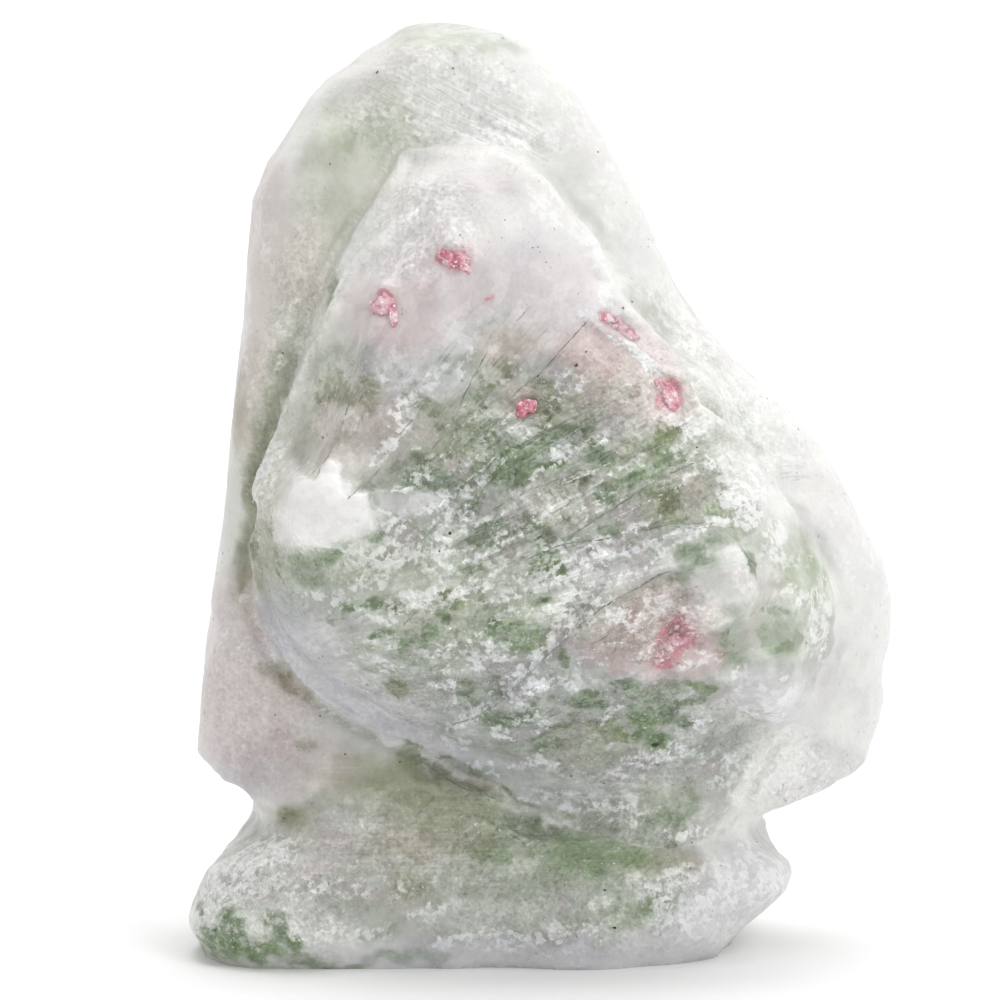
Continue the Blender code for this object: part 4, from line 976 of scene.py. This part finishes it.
# each grain, each broken face and each speckle has a tone of its own
grain_share = maths(tree, "MULTIPLY_ADD", rough, 0.8, 0.08)
grain_tone = between(tree, grain_share, 1.0, ramp(tree, grain["Tone"], 0.0, 1.0, 0.90, 1.10))
shard_tone = between(tree, broken, 1.0, ramp(tree, shards["Blue"], 0.0, 1.0, 0.86, 1.12))
speckle_share = maths(tree, "MULTIPLY_ADD", scraped, 0.35, maths(tree, "MULTIPLY_ADD", rough, 0.72, 0.05))
speckled = between(tree, times(tree, scraped, 0.6), peppery, hair)
speckled = between(tree, speckle_share, 1.0, ramp(tree, speckled, 0.34, 0.66, 0.79, 1.17))
tone = times(tree, times(tree, grain_tone, shard_tone), speckled)
colour = add(tree, "VectorMath", {0: colour, "Scale": tone}, operation="SCALE").outputs[0]
roughness = ramp(tree, peppery, 0.35, 0.65, 0.52, 0.36)
waxy(tree, shader, colour, grain["Normal"], roughness, 0.5, (1.0, 1.0, 0.95), 1.5)
stone.data.materials.append(marble)


# ---- The sugar grains -------------------------------------------------------------------------
# Broken grains of calcite, a third of a millimetre across, that stand out of the sugary parts.
# Each is a small closed chip with flat faces, more than half of it sunk in the stone, and a few
# are painted white as glints.
GRAIN_COUNT = 9000
GRAIN_RADIUS = (0.055, 0.125)
GRAIN_SUNK = 0.35
GRAIN_HEIGHTS = (1.2 * MM, 78 * MM)
GRAIN_MARGIN = 0.25 * MM
GRAIN_FROST = (-0.3, 0.6)
GRAIN_CORNERS = 9
CHIP_KINDS = 10
CHIP_STRETCH = (0.5, 1.7)
GLINT_SIZE = 0.75
# the glinting grains' colours are pushed to white: painted glints
GLINT_CHANGES = {"frost": 2.0, "deep": -1.0, "veil": -1.0, "lavender": -1.0, "blush": -0.6}
GLINTS = (  # places crowded with grains painted white as glints: (across, down, reach, how many)
    (313, 296, 8, 26), (308, 350, 8, 26), (324, 402, 4, 14), (475, 226, 5, 18), (405, 215, 26, 44),
    (430, 250, 26, 36), (338, 552, 6, 7), (372, 534, 9, 8), (322, 565, 9, 8), (493, 527, 5, 16),
    (599, 578, 7, 26), (557, 608, 5, 18), (500, 588, 5, 12), (676, 605, 7, 26), (660, 600, 8, 18),
    (623, 521, 4, 10), (445, 580, 5, 12), (294, 864, 4, 12), (197, 931, 3, 8), (261, 784, 2, 5),
    (505, 956, 2, 5), (640, 625, 22, 40), (600, 640, 12, 20), (540, 405, 12, 20), (520, 600, 20, 36),
    (560, 500, 26, 36), (270, 270, 16, 24), (262, 360, 10, 20), (255, 930, 22, 40), (600, 855, 20, 20),
    (655, 420, 6, 10), (470, 350, 20, 20), (590, 700, 26, 26),
)


def chip(seed, corners, squareness=2.0):
    """The points and triangles of one convex chip of about unit radius, as two arrays."""
    random = np.random.default_rng(seed)
    ways = random.normal(size=(corners, 3))
    ways /= (np.abs(ways) ** squareness).sum(axis=1, keepdims=True) ** (1 / squareness)
    shape = bmesh.new()
    for way in ways:
        shape.verts.new(way)
    bmesh.ops.convex_hull(shape, input=shape.verts)
    inner = [vertex for vertex in shape.verts if not vertex.link_faces]
    bmesh.ops.delete(shape, geom=inner, context="VERTS")
    bmesh.ops.triangulate(shape, faces=shape.faces)
    bmesh.ops.recalc_face_normals(shape, faces=shape.faces)
    shape.verts.index_update()
    points = np.array([vertex.co[:] for vertex in shape.verts])
    faces = np.array([[vertex.index for vertex in face.verts] for face in shape.faces])
    shape.free()
    return points, faces

def joined(name, shapes):
    """One mesh of several shapes, each given as its points and its triangles."""
    points, faces, count = [], [], 0
    for shape_points, shape_faces in shapes:
        points.append(shape_points)
        faces.append(shape_faces + count)
        count += len(shape_points)
    mesh = bpy.data.meshes.new(name)
    mesh.from_pydata(np.vstack(points).tolist(), [], np.vstack(faces).tolist())
    mesh.update()
    return mesh


def scattered(name, centres, radii, seed):
    """One mesh of chips at the given centres, each turned its own way, and whose chip each point is."""
    random = np.random.default_rng(seed)
    kinds = [chip(seed * 100 + number, GRAIN_CORNERS) for number in range(CHIP_KINDS)]
    chips = []
    for centre, radius in zip(centres, radii):
        points, faces = kinds[random.integers(len(kinds))]
        turn = np.array(Euler(random.uniform(0, 2 * math.pi, 3)).to_matrix())
        chips.append((points * random.uniform(*CHIP_STRETCH, 3) @ turn * radius + centre, faces))
    return joined(name, chips), np.repeat(np.arange(len(chips)), [len(points) for points, _ in chips])


likely = (0.04 + sugary**2) * (0.3 + front) * (1 - 0.9 * sideways)
likely *= (points[:, 2] > GRAIN_HEIGHTS[0]) & (points[:, 2] < GRAIN_HEIGHTS[1])
chosen = shuffle.choice(len(points), GRAIN_COUNT, replace=False, p=likely / likely.sum())
radii = shuffle.uniform(*GRAIN_RADIUS, GRAIN_COUNT) * MM
normals = normals_of(stone.data)
glinting = []
for across, down, reach, many in GLINTS:
    near = front * blot(places, across, down, reach, reach)
    glinting.append(shuffle.choice(len(points), many, p=near / near.sum()))
glinting = np.concatenate(glinting)
radii[: len(glinting)] *= GLINT_SIZE
chosen = np.concatenate([glinting, chosen[len(glinting):]])
centres = points[chosen] - normals[chosen] * (radii * GRAIN_SUNK)[:, None]
centres = np.clip(centres, np.array(stone_low) + GRAIN_MARGIN, np.array(stone_high) - GRAIN_MARGIN)
grain_mesh, owners = scattered("sugar_grains", centres, radii, 5)
grains = add_piece("sugar_grains", grain_mesh)
changes = {"frost": shuffle.uniform(*GRAIN_FROST, GRAIN_COUNT)[owners]}
for name, change in GLINT_CHANGES.items():
    changes[name] = np.where(owners < len(glinting), change, changes.get(name, 0))
keep_colours(grain_mesh, chosen[owners], changes)
grain_mesh.materials.append(marble)
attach(grains, "root")


# ---- The saw and grinding lines ---------------------------------------------------------------
# Fine scratches and the edges of broken steps. The dark ones are dark lines along the scratches and
# breaks, painted shade along the steps and in a notch, and a painted shadow line under the boss's
# lower edge. The pale ones are crushed stone, and along the edges of the steps and the ridge also
# painted highlight. Each is a thin closed sliver that follows the surface and hardly stands out of it.
# dark lines: along the scratches and breaks, painted shade along the steps and in a notch, and a painted
# shadow line under the boss's lower edge
DARK_LINES = (  # (width in px, path)
    (1.8, ((314, 481), (323, 464), (337, 440), (349, 404), (355, 386))),
    (1.8, ((346, 501), (357, 490), (370, 479), (382, 467))),
    (1.7, ((431, 450), (451, 429), (464, 396), (478, 368), (488, 350))),
    (2.0, ((508, 400), (524, 386), (540, 374), (556, 356), (572, 338), (590, 318))),
    (1.4, ((508, 462), (526, 443), (544, 431), (568, 419), (592, 410), (607, 399))),
    (2.2, ((487, 512), (505, 503), (526, 492), (550, 483), (574, 473), (592, 465))),
    (2.2, ((551, 514), (568, 504), (586, 494), (607, 481))),
    (2.6, ((568, 538), (586, 526), (604, 514), (622, 503), (640, 491), (658, 480), (682, 468), (697, 462))),
    (1.8, ((512, 567), (535, 556), (563, 544), (598, 540), (625, 535), (661, 526), (704, 523))),
    (2.6, ((569, 638), (586, 620), (604, 607), (622, 596), (640, 587), (655, 577), (673, 570))),
    (1.9, ((445, 727), (475, 718), (502, 701), (530, 673), (554, 649), (569, 638))),
    (1.7, ((655, 697), (668, 690), (682, 682))),
    (2.2, ((744, 551), (752, 565), (757, 581))),
    (1.4, ((400, 629), (418, 610))),
    (1.4, ((590, 645), (612, 634), (634, 628))),
    (1.8, ((395, 440), (408, 424), (420, 412))),
    (1.5, ((530, 305), (524, 313), (516, 322))),
    (2.0, ((431, 762), (445, 777), (462, 788), (482, 794), (505, 802))),
    (1.4, ((455, 545), (480, 532), (505, 521), (530, 510))),
    (1.4, ((600, 470), (625, 458), (650, 447))),
)
# pale lines: crushed white stone, which along the edges of the steps and the ridge is also painted highlight
PALE_LINES = (
    (3.1, ((442, 498), (462, 484), (482, 470), (500, 452))),
    (2.6, ((640, 544), (668, 535), (696, 528), (724, 523))),
    (3.9, ((546, 655), (560, 641), (574, 629))),
    (3.9, ((503, 692), (522, 676), (542, 660))),
    (3.4, ((452, 723), (472, 716), (492, 704))),
    (4.2, ((598, 330), (618, 342), (640, 356), (662, 372))),
    (3.1, ((352, 266), (344, 282), (334, 304), (326, 322))),
    (3.1, ((300, 366), (288, 404), (274, 440), (262, 478), (248, 514))),
    (2.3, ((440, 720), (452, 694), (460, 668))),
    (2.3, ((214, 652), (228, 659), (242, 667))),
    (2.3, ((410, 108), (432, 118), (456, 128), (474, 134))),
    (2.3, ((446, 96), (468, 108), (490, 122))),
    (2.3, ((560, 485), (590, 473), (612, 462))),
    (2.3, ((612, 520), (640, 505), (668, 492), (690, 480))),
    (2.3, ((752, 452), (764, 470), (774, 482))),
)
LINE_STEP = 3.0
LINE_SUNK = 0.10 * MM
LINE_TAPER = 4  # steps from an end to the full width
LINE_UNEVEN = (0.45, 1.25)
LINE_STRAYS = (-0.5, 0.5)
LINE_GAPS = 0.03
DARK_LINE_SHADE, DARK_LINE_SHADE_PALE = (0.19, 0.21, 0.165), (0.40, 0.415, 0.37)

stone_tree = BVHTree.FromPolygons(points.tolist(), [tuple(face.vertices) for face in stone.data.polygons])


def on_stone(across, down):
    """The point and normal of the stone's surface that is seen at a place in the frame."""
    hit, normal, face, _ = stone_tree.ray_cast(camera_place, sight_line(across, down))
    return hit, normal, face


def sliver_lines(name, listed, proud, seed):
    """One mesh of thin slivers laid on the stone along seen paths, with gaps where they fade."""
    random = np.random.default_rng(seed)
    shape = bmesh.new()
    under = shape.verts.layers.int.new("under")
    for width, path in listed:
        stops = []
        for start, end in zip(path[:-1], path[1:]):
            start, end = Vector(start), Vector(end)
            steps = max(1, round((end - start).length / LINE_STEP))
            stops += [start.lerp(end, step / steps) for step in range(steps)]
        stops.append(Vector(path[-1]))
        rings = []
        for number, stop in enumerate(stops):
            ahead_of = stops[min(number + 1, len(stops) - 1)] - stops[max(number - 1, 0)]
            beside = Vector((-ahead_of.y, ahead_of.x)).normalized()
            taper = min(1, (number + 0.4) / LINE_TAPER, (len(stops) - number - 0.6) / LINE_TAPER)
            half = 0.5 * width * taper * random.uniform(*LINE_UNEVEN)
            middle = stop + beside * random.uniform(*LINE_STRAYS)
            found = [on_stone(*(middle + beside * share)) for share in (-half, 0, half)]
            if any(hit is None for hit, _, _ in found) or random.random() < LINE_GAPS:
                rings.append(None)
                continue
            (left, _, _), (top, normal, face), (right, _, _) = found
            edge_sunk = normal * proud * 0.3
            ring = [left - edge_sunk, top + normal * proud, right - edge_sunk, top - normal * LINE_SUNK]
            rings.append([shape.verts.new(corner) for corner in ring])
            for corner in rings[-1]:
                corner[under] = stone.data.polygons[face].vertices[0]
        for first, second in zip(rings[:-1], rings[1:]):
            if first and second:
                for side in range(4):
                    shape.faces.new((first[side], first[side - 1], second[side - 1], second[side]))
    bmesh.ops.holes_fill(shape, edges=[edge for edge in shape.edges if edge.is_boundary])
    alone = [vertex for vertex in shape.verts if not vertex.link_faces]
    bmesh.ops.delete(shape, geom=alone, context="VERTS")
    bmesh.ops.triangulate(shape, faces=shape.faces)
    bmesh.ops.recalc_face_normals(shape, faces=shape.faces)
    mesh = bpy.data.meshes.new(name)
    shape.to_mesh(mesh)
    shape.free()
    return mesh


# the dark lines' colour, which is painted shade where they run along the steps and under the boss
dark_lines_and_painted_shade = bpy.data.materials.new("dirt in the scratches")
tree, shader = tree_of(dark_lines_and_painted_shade)
patches = noisy(tree, add(tree, "TexCoord").outputs["Object"], 420, 4, 0.7)
colour = blend(tree, ramp(tree, patches, 0.36, 0.64), DARK_LINE_SHADE, DARK_LINE_SHADE_PALE)
fill(tree, shader, {"Base Color": colour, "Roughness": 0.8})

for name, listed, proud, material, changes in (
    ("dark_scratches", DARK_LINES, 0.035 * MM, dark_lines_and_painted_shade, {}),
    ("pale_edges", PALE_LINES, 0.030 * MM, marble, {"deep": -0.4, "veil": -0.2, "frost": 0.55}),
):
    lines = add_piece(name, sliver_lines(name, listed, proud, len(listed)))
    under = np.empty(len(lines.data.vertices), np.int32)
    lines.data.attributes["under"].data.foreach_get("value", under)
    keep_colours(lines.data, under, changes)
    lines.data.materials.append(material)
    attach(lines, "root")


# ---- The dark specks --------------------------------------------------------------------------
# Tiny grains of a black mineral, here and there in the white. Each is a small faceted chip that
# has been ground level with the stone round it.
SPECKS = (  # (across, down, half across, half down)
    (377, 72, 1.7, 2.6), (450, 534, 1.8, 3.0), (655, 745, 5.5, 2.0), (345, 754, 1.3, 1.3),
    (284, 818, 1.6, 1.6), (440, 551, 2.2, 1.8), (533, 248, 1.2, 1.0), (541, 252, 1.5, 1.2),
    (538, 247, 0.9, 0.8), (505, 220, 2.4, 0.8), (546, 262, 1.0, 1.0), (472, 205, 0.9, 0.9),
    (502, 238, 0.9, 0.9), (460, 235, 1.2, 1.0), (623, 308, 1.5, 1.4), (632, 302, 1.5, 1.2),
    (614, 928, 2.6, 1.5), (605, 890, 2.6, 1.0), (571, 776, 1.3, 1.2), (604, 783, 1.6, 1.2),
    (692, 843, 1.4, 1.3), (757, 842, 1.2, 1.2), (215, 930, 1.4, 1.4), (538, 376, 1.6, 1.4),
    (453, 68, 1.5, 1.2), (598, 152, 1.2, 1.2), (352, 364, 1.2, 1.2), (323, 438, 1.2, 1.2),
    (527, 680, 1.3, 1.2), (275, 715, 1.2, 1.2), (320, 716, 1.3, 1.2), (697, 448, 1.5, 1.8),
    (677, 527, 3.0, 1.6), (417, 464, 1.4, 1.4), (330, 164, 1.2, 1.2), (283, 353, 1.4, 1.2),
    (586, 352, 1.4, 1.2), (576, 365, 2.4, 2.2), (660, 935, 1.2, 1.2), (400, 762, 1.4, 1.2),
)
SPECK_CORNERS = 12
SPECK_SUNK = 0.02 * MM
PITCH, PITCH_WORN = (0.012, 0.014, 0.010), (0.05, 0.05, 0.035)

black = bpy.data.materials.new("black mineral")
tree, shader = tree_of(black)
mixed = noisy(tree, add(tree, "TexCoord").outputs["Object"], 1500, 3)
colour = blend(tree, ramp(tree, mixed, 0.35, 0.65), PITCH, PITCH_WORN)
fill(tree, shader, {"Base Color": colour, "Roughness": 0.35})


def laid_flat(kind, across, down, halves, sunk, turn=0):
    """A chip's points and triangles, laid on the stone where it is seen and sunk in it."""
    hit, normal, _ = on_stone(across, down)
    points, faces = kind
    right = Vector((1, 0, 0)).cross(normal).cross(normal).normalized() * -1
    size = Matrix([way * half for way, half in zip((right, normal.cross(right), normal), halves)]) * PIXEL
    spin = np.array(Matrix.Rotation(math.radians(turn), 3, "Z"))
    return points @ spin @ np.array(size) + np.array(hit - normal * sunk), faces


speck_shapes = []
for number, (across, down, half_across, half_down) in enumerate(SPECKS):
    halves = (half_across, half_down, min(half_across, half_down))
    speck_shapes.append(laid_flat(chip(number, SPECK_CORNERS), across, down, halves, SPECK_SUNK))
specks = add_piece("dark_specks", joined("dark_specks", speck_shapes))
specks.data.materials.append(black)
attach(specks, "root")


# ---- The pink crystals ------------------------------------------------------------------------
# Small glassy crystals of another mineral, set almost flush in the boss. Each is a few grown-
# together blocks with flat faces, crazed and frosted on top.
CRYSTAL_BLOCKS = {  # node: blocks as (across, down, half across, half down, turn)
    "pink_crystal_upper": ((446, 257, 11, 12, 0), (460, 262, 16, 14, 10), (453, 259, 10, 10, 0)),
    "pink_crystal_left": ((380, 309, 12, 17, -20), (388, 301, 13, 15, 0), (391, 315, 11, 14, 20)),
    "pink_crystal_right_pair": (
        (606, 320, 12, 10, -10), (616, 325, 12, 10, 0), (631, 335, 11, 9, -20), (624, 330, 9, 7, 0),
    ),
    "pink_crystal_right": ((664, 391, 12, 14, 0), (672, 394, 12, 15, 5), (669, 404, 11, 11, 0)),
    "pink_crystal_middle": ((519, 408, 11, 11, 20), (528, 406, 9, 9, 0)),
    "pink_crystal_cluster": (
        (684, 619, 8, 9, 0), (681, 631, 10, 9, 0), (688, 641, 8, 8, 0), (676, 645, 10, 9, 0),
        (667, 655, 10, 9, 10), (661, 662, 8, 6, 0), (674, 664, 8, 6, 0),
    ),
}
GRANULES = {  # small broken crystals strewn on each: (across, down, reach across, reach down, how many)
    "pink_crystal_upper": ((446, 257, 6, 7, 6), (459, 261, 10, 8, 9)),
    "pink_crystal_left": ((386, 306, 7, 9, 12),),
    "pink_crystal_right_pair": ((611, 322, 10, 6, 8), (630, 334, 6, 4, 3)),
    "pink_crystal_right": ((667, 394, 10, 11, 14), (671, 408, 5, 4, 3)),
    "pink_crystal_middle": ((522, 408, 7, 8, 8),),
    "pink_crystal_cluster": (
        (684, 619, 8, 10, 16), (680, 637, 12, 9, 20), (667, 655, 12, 8, 20), (676, 663, 8, 4, 6),
    ),
}
GRANULE_SIZE = (1.0, 2.4)
GRANULE_FLATNESS = 0.9
BLOCK_PROUD = 0.32 * MM
GRANULE_PROUD = 0.22 * MM
CLUSTER_PROUD = (-0.02, 0.09)
BLOCK_THICKNESS = 0.42
BLOCK_CORNERS, BLOCK_SQUARENESS = 22, 4.5
BLOCK_GRAIN = 0.17 * MM
CRAZED = {  # the whiter ones
    "pink_crystal_right_pair": 0.9, "pink_crystal_left": 0.55,
    "pink_crystal_cluster": 0.6, "pink_crystal_right": 0.3,
}
RUBY, ROSE, PALE_ROSE = (0.52, 0.14, 0.20), (0.70, 0.32, 0.385), (0.84, 0.60, 0.64)
# the last is the near-white of painted glints on the crystals
CRAZED_ROSE, CRACKED, PAINTED_CRYSTAL_GLINT = (0.76, 0.58, 0.61), (0.92, 0.82, 0.83), (0.96, 0.92, 0.92)

ruby = bpy.data.materials.new("pink crystal")
tree, shader = tree_of(ruby)
place = add(tree, "TexCoord").outputs["Object"]
cloud = noisy(tree, place, 900, 5, 0.66)
crazing = add(tree, "TexVoronoi", {"Vector": place, "Scale": 2600.0}, feature="DISTANCE_TO_EDGE")
grain = add(tree, "Group", {"Size": BLOCK_GRAIN, "Tilt": 0.8}, node_tree=grain_group).outputs
colour = blend(tree, ramp(tree, cloud, 0.38, 0.54), RUBY, ROSE)
colour = blend(tree, ramp(tree, cloud, 0.50, 0.62), colour, PALE_ROSE)
whiter = times(tree, attribute(tree, "crazed"), ramp(tree, cloud, 0.36, 0.54, 0.25, 1.0))
colour = blend(tree, whiter, colour, CRAZED_ROSE)
cracks = ramp(tree, crazing.outputs["Distance"], 0.02, 0.08, 1.0, 0.0)
cracks = times(tree, cracks, ramp(tree, cloud, 0.48, 0.58))
colour = blend(tree, times(tree, cracks, 0.8), colour, CRACKED)
# painted glints: a few grain faces on the crystals painted near white
colour = blend(tree, grain["Glint"], colour, PAINTED_CRYSTAL_GLINT)
waxy(tree, shader, colour, grain["Normal"], 0.18, 0.6, (1.0, 0.6, 0.65), 1.7)

gem_shuffle = np.random.default_rng(29)
for node, blocks in CRYSTAL_BLOCKS.items():
    solid_blocks = len(blocks)
    for across, down, reach_across, reach_down, many in GRANULES[node]:
        for moved in gem_shuffle.uniform(-1, 1, (many, 2)):
            spot = (across + moved[0] * reach_across, down + moved[1] * reach_down)
            half = gem_shuffle.uniform(*GRANULE_SIZE)
            blocks += ((*spot, half, half * GRANULE_FLATNESS, 0),)
    gem_shapes = []
    for number, (across, down, half_across, half_down, turn) in enumerate(blocks):
        thick = (half_across + half_down) * BLOCK_THICKNESS
        proud = BLOCK_PROUD if number < solid_blocks else GRANULE_PROUD
        if "cluster" in node:
            proud = gem_shuffle.uniform(*CLUSTER_PROUD) * MM
        kind = chip(len(node) + number, BLOCK_CORNERS, BLOCK_SQUARENESS)
        halves, sunk = (half_across, half_down, thick), thick * PIXEL - proud
        gem_shapes.append(laid_flat(kind, across, down, halves, sunk, turn))
    name = node.replace("pink_crystal", "gem")
    gem = add_piece(name, joined(name, gem_shapes))
    mark(gem.data, "crazed", np.full(len(gem.data.vertices), CRAZED.get(node, 0.0)))
    gem.data.materials.append(ruby)
    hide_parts(node)
    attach(gem, "root")


# ---- The table and the light ------------------------------------------------------------------
# A plain pale table that curves up behind the stone, in a white room with a large soft lamp at the
# upper right.
TABLE_SIDE = 1.5
SWEEP = ((-1.5, 0), (0.45, 0), (0.60, 0.02), (0.73, 0.08), (0.82, 0.18), (0.86, 0.32), (0.87, 0.60))
TABLE_WHITE = (0.95, 0.95, 0.95, 1)
ROOM_BRIGHTNESS = (0.50, 1.0)  # before the stone and behind it
KEY_LAMP = ((0.34, -0.30, 0.42), (0, 0, 0.04), 0.30, 1.15)  # (place, aim, size, watts)
BACKDROP_LAMP = ((0, 0.25, 0.9), (0, 0.8, 0.1), 0.8, 6.0)

shape = bmesh.new()
edges = [[shape.verts.new((side, y, z)) for y, z in SWEEP] for side in (-TABLE_SIDE, TABLE_SIDE)]
for number in range(len(SWEEP) - 1):
    shape.faces.new((edges[0][number], edges[1][number], edges[1][number + 1], edges[0][number + 1]))
table_mesh = bpy.data.meshes.new("table")
shape.to_mesh(table_mesh)
shape.free()
table_mesh.shade_smooth()
table = add_piece("table", table_mesh)
white = bpy.data.materials.new("pale table")
tree, shader = tree_of(white)
fill(tree, shader, {"Base Color": TABLE_WHITE, "Roughness": 0.9, "Specular IOR Level": 0.2})
table_mesh.materials.append(white)


def soft_lamp(name, place, aim, size, watts):
    lamp = bpy.data.lights.new(name, "AREA")
    lamp.size = size
    lamp.energy = watts
    made = bpy.data.objects.new(name, lamp)
    made.location = place
    made.rotation_euler = (Vector(aim) - Vector(place)).to_track_quat("-Z", "Y").to_euler()
    bpy.context.scene.collection.objects.link(made)


soft_lamp("key lamp", *KEY_LAMP)
soft_lamp("backdrop lamp", *BACKDROP_LAMP)
world = bpy.data.worlds.new("white room")
world.use_nodes = True
room = world.node_tree
sight = add(room, "SeparateXYZ", {"Vector": add(room, "TexCoord").outputs["Generated"]}).outputs["Y"]
brightness = ramp(room, sight, -0.3, 0.85, *ROOM_BRIGHTNESS)
fill(room, room.nodes["Background"], {"Color": (1, 1, 1, 1), "Strength": brightness})
bpy.context.scene.world = world
bpy.context.scene.view_settings.view_transform = "Standard"
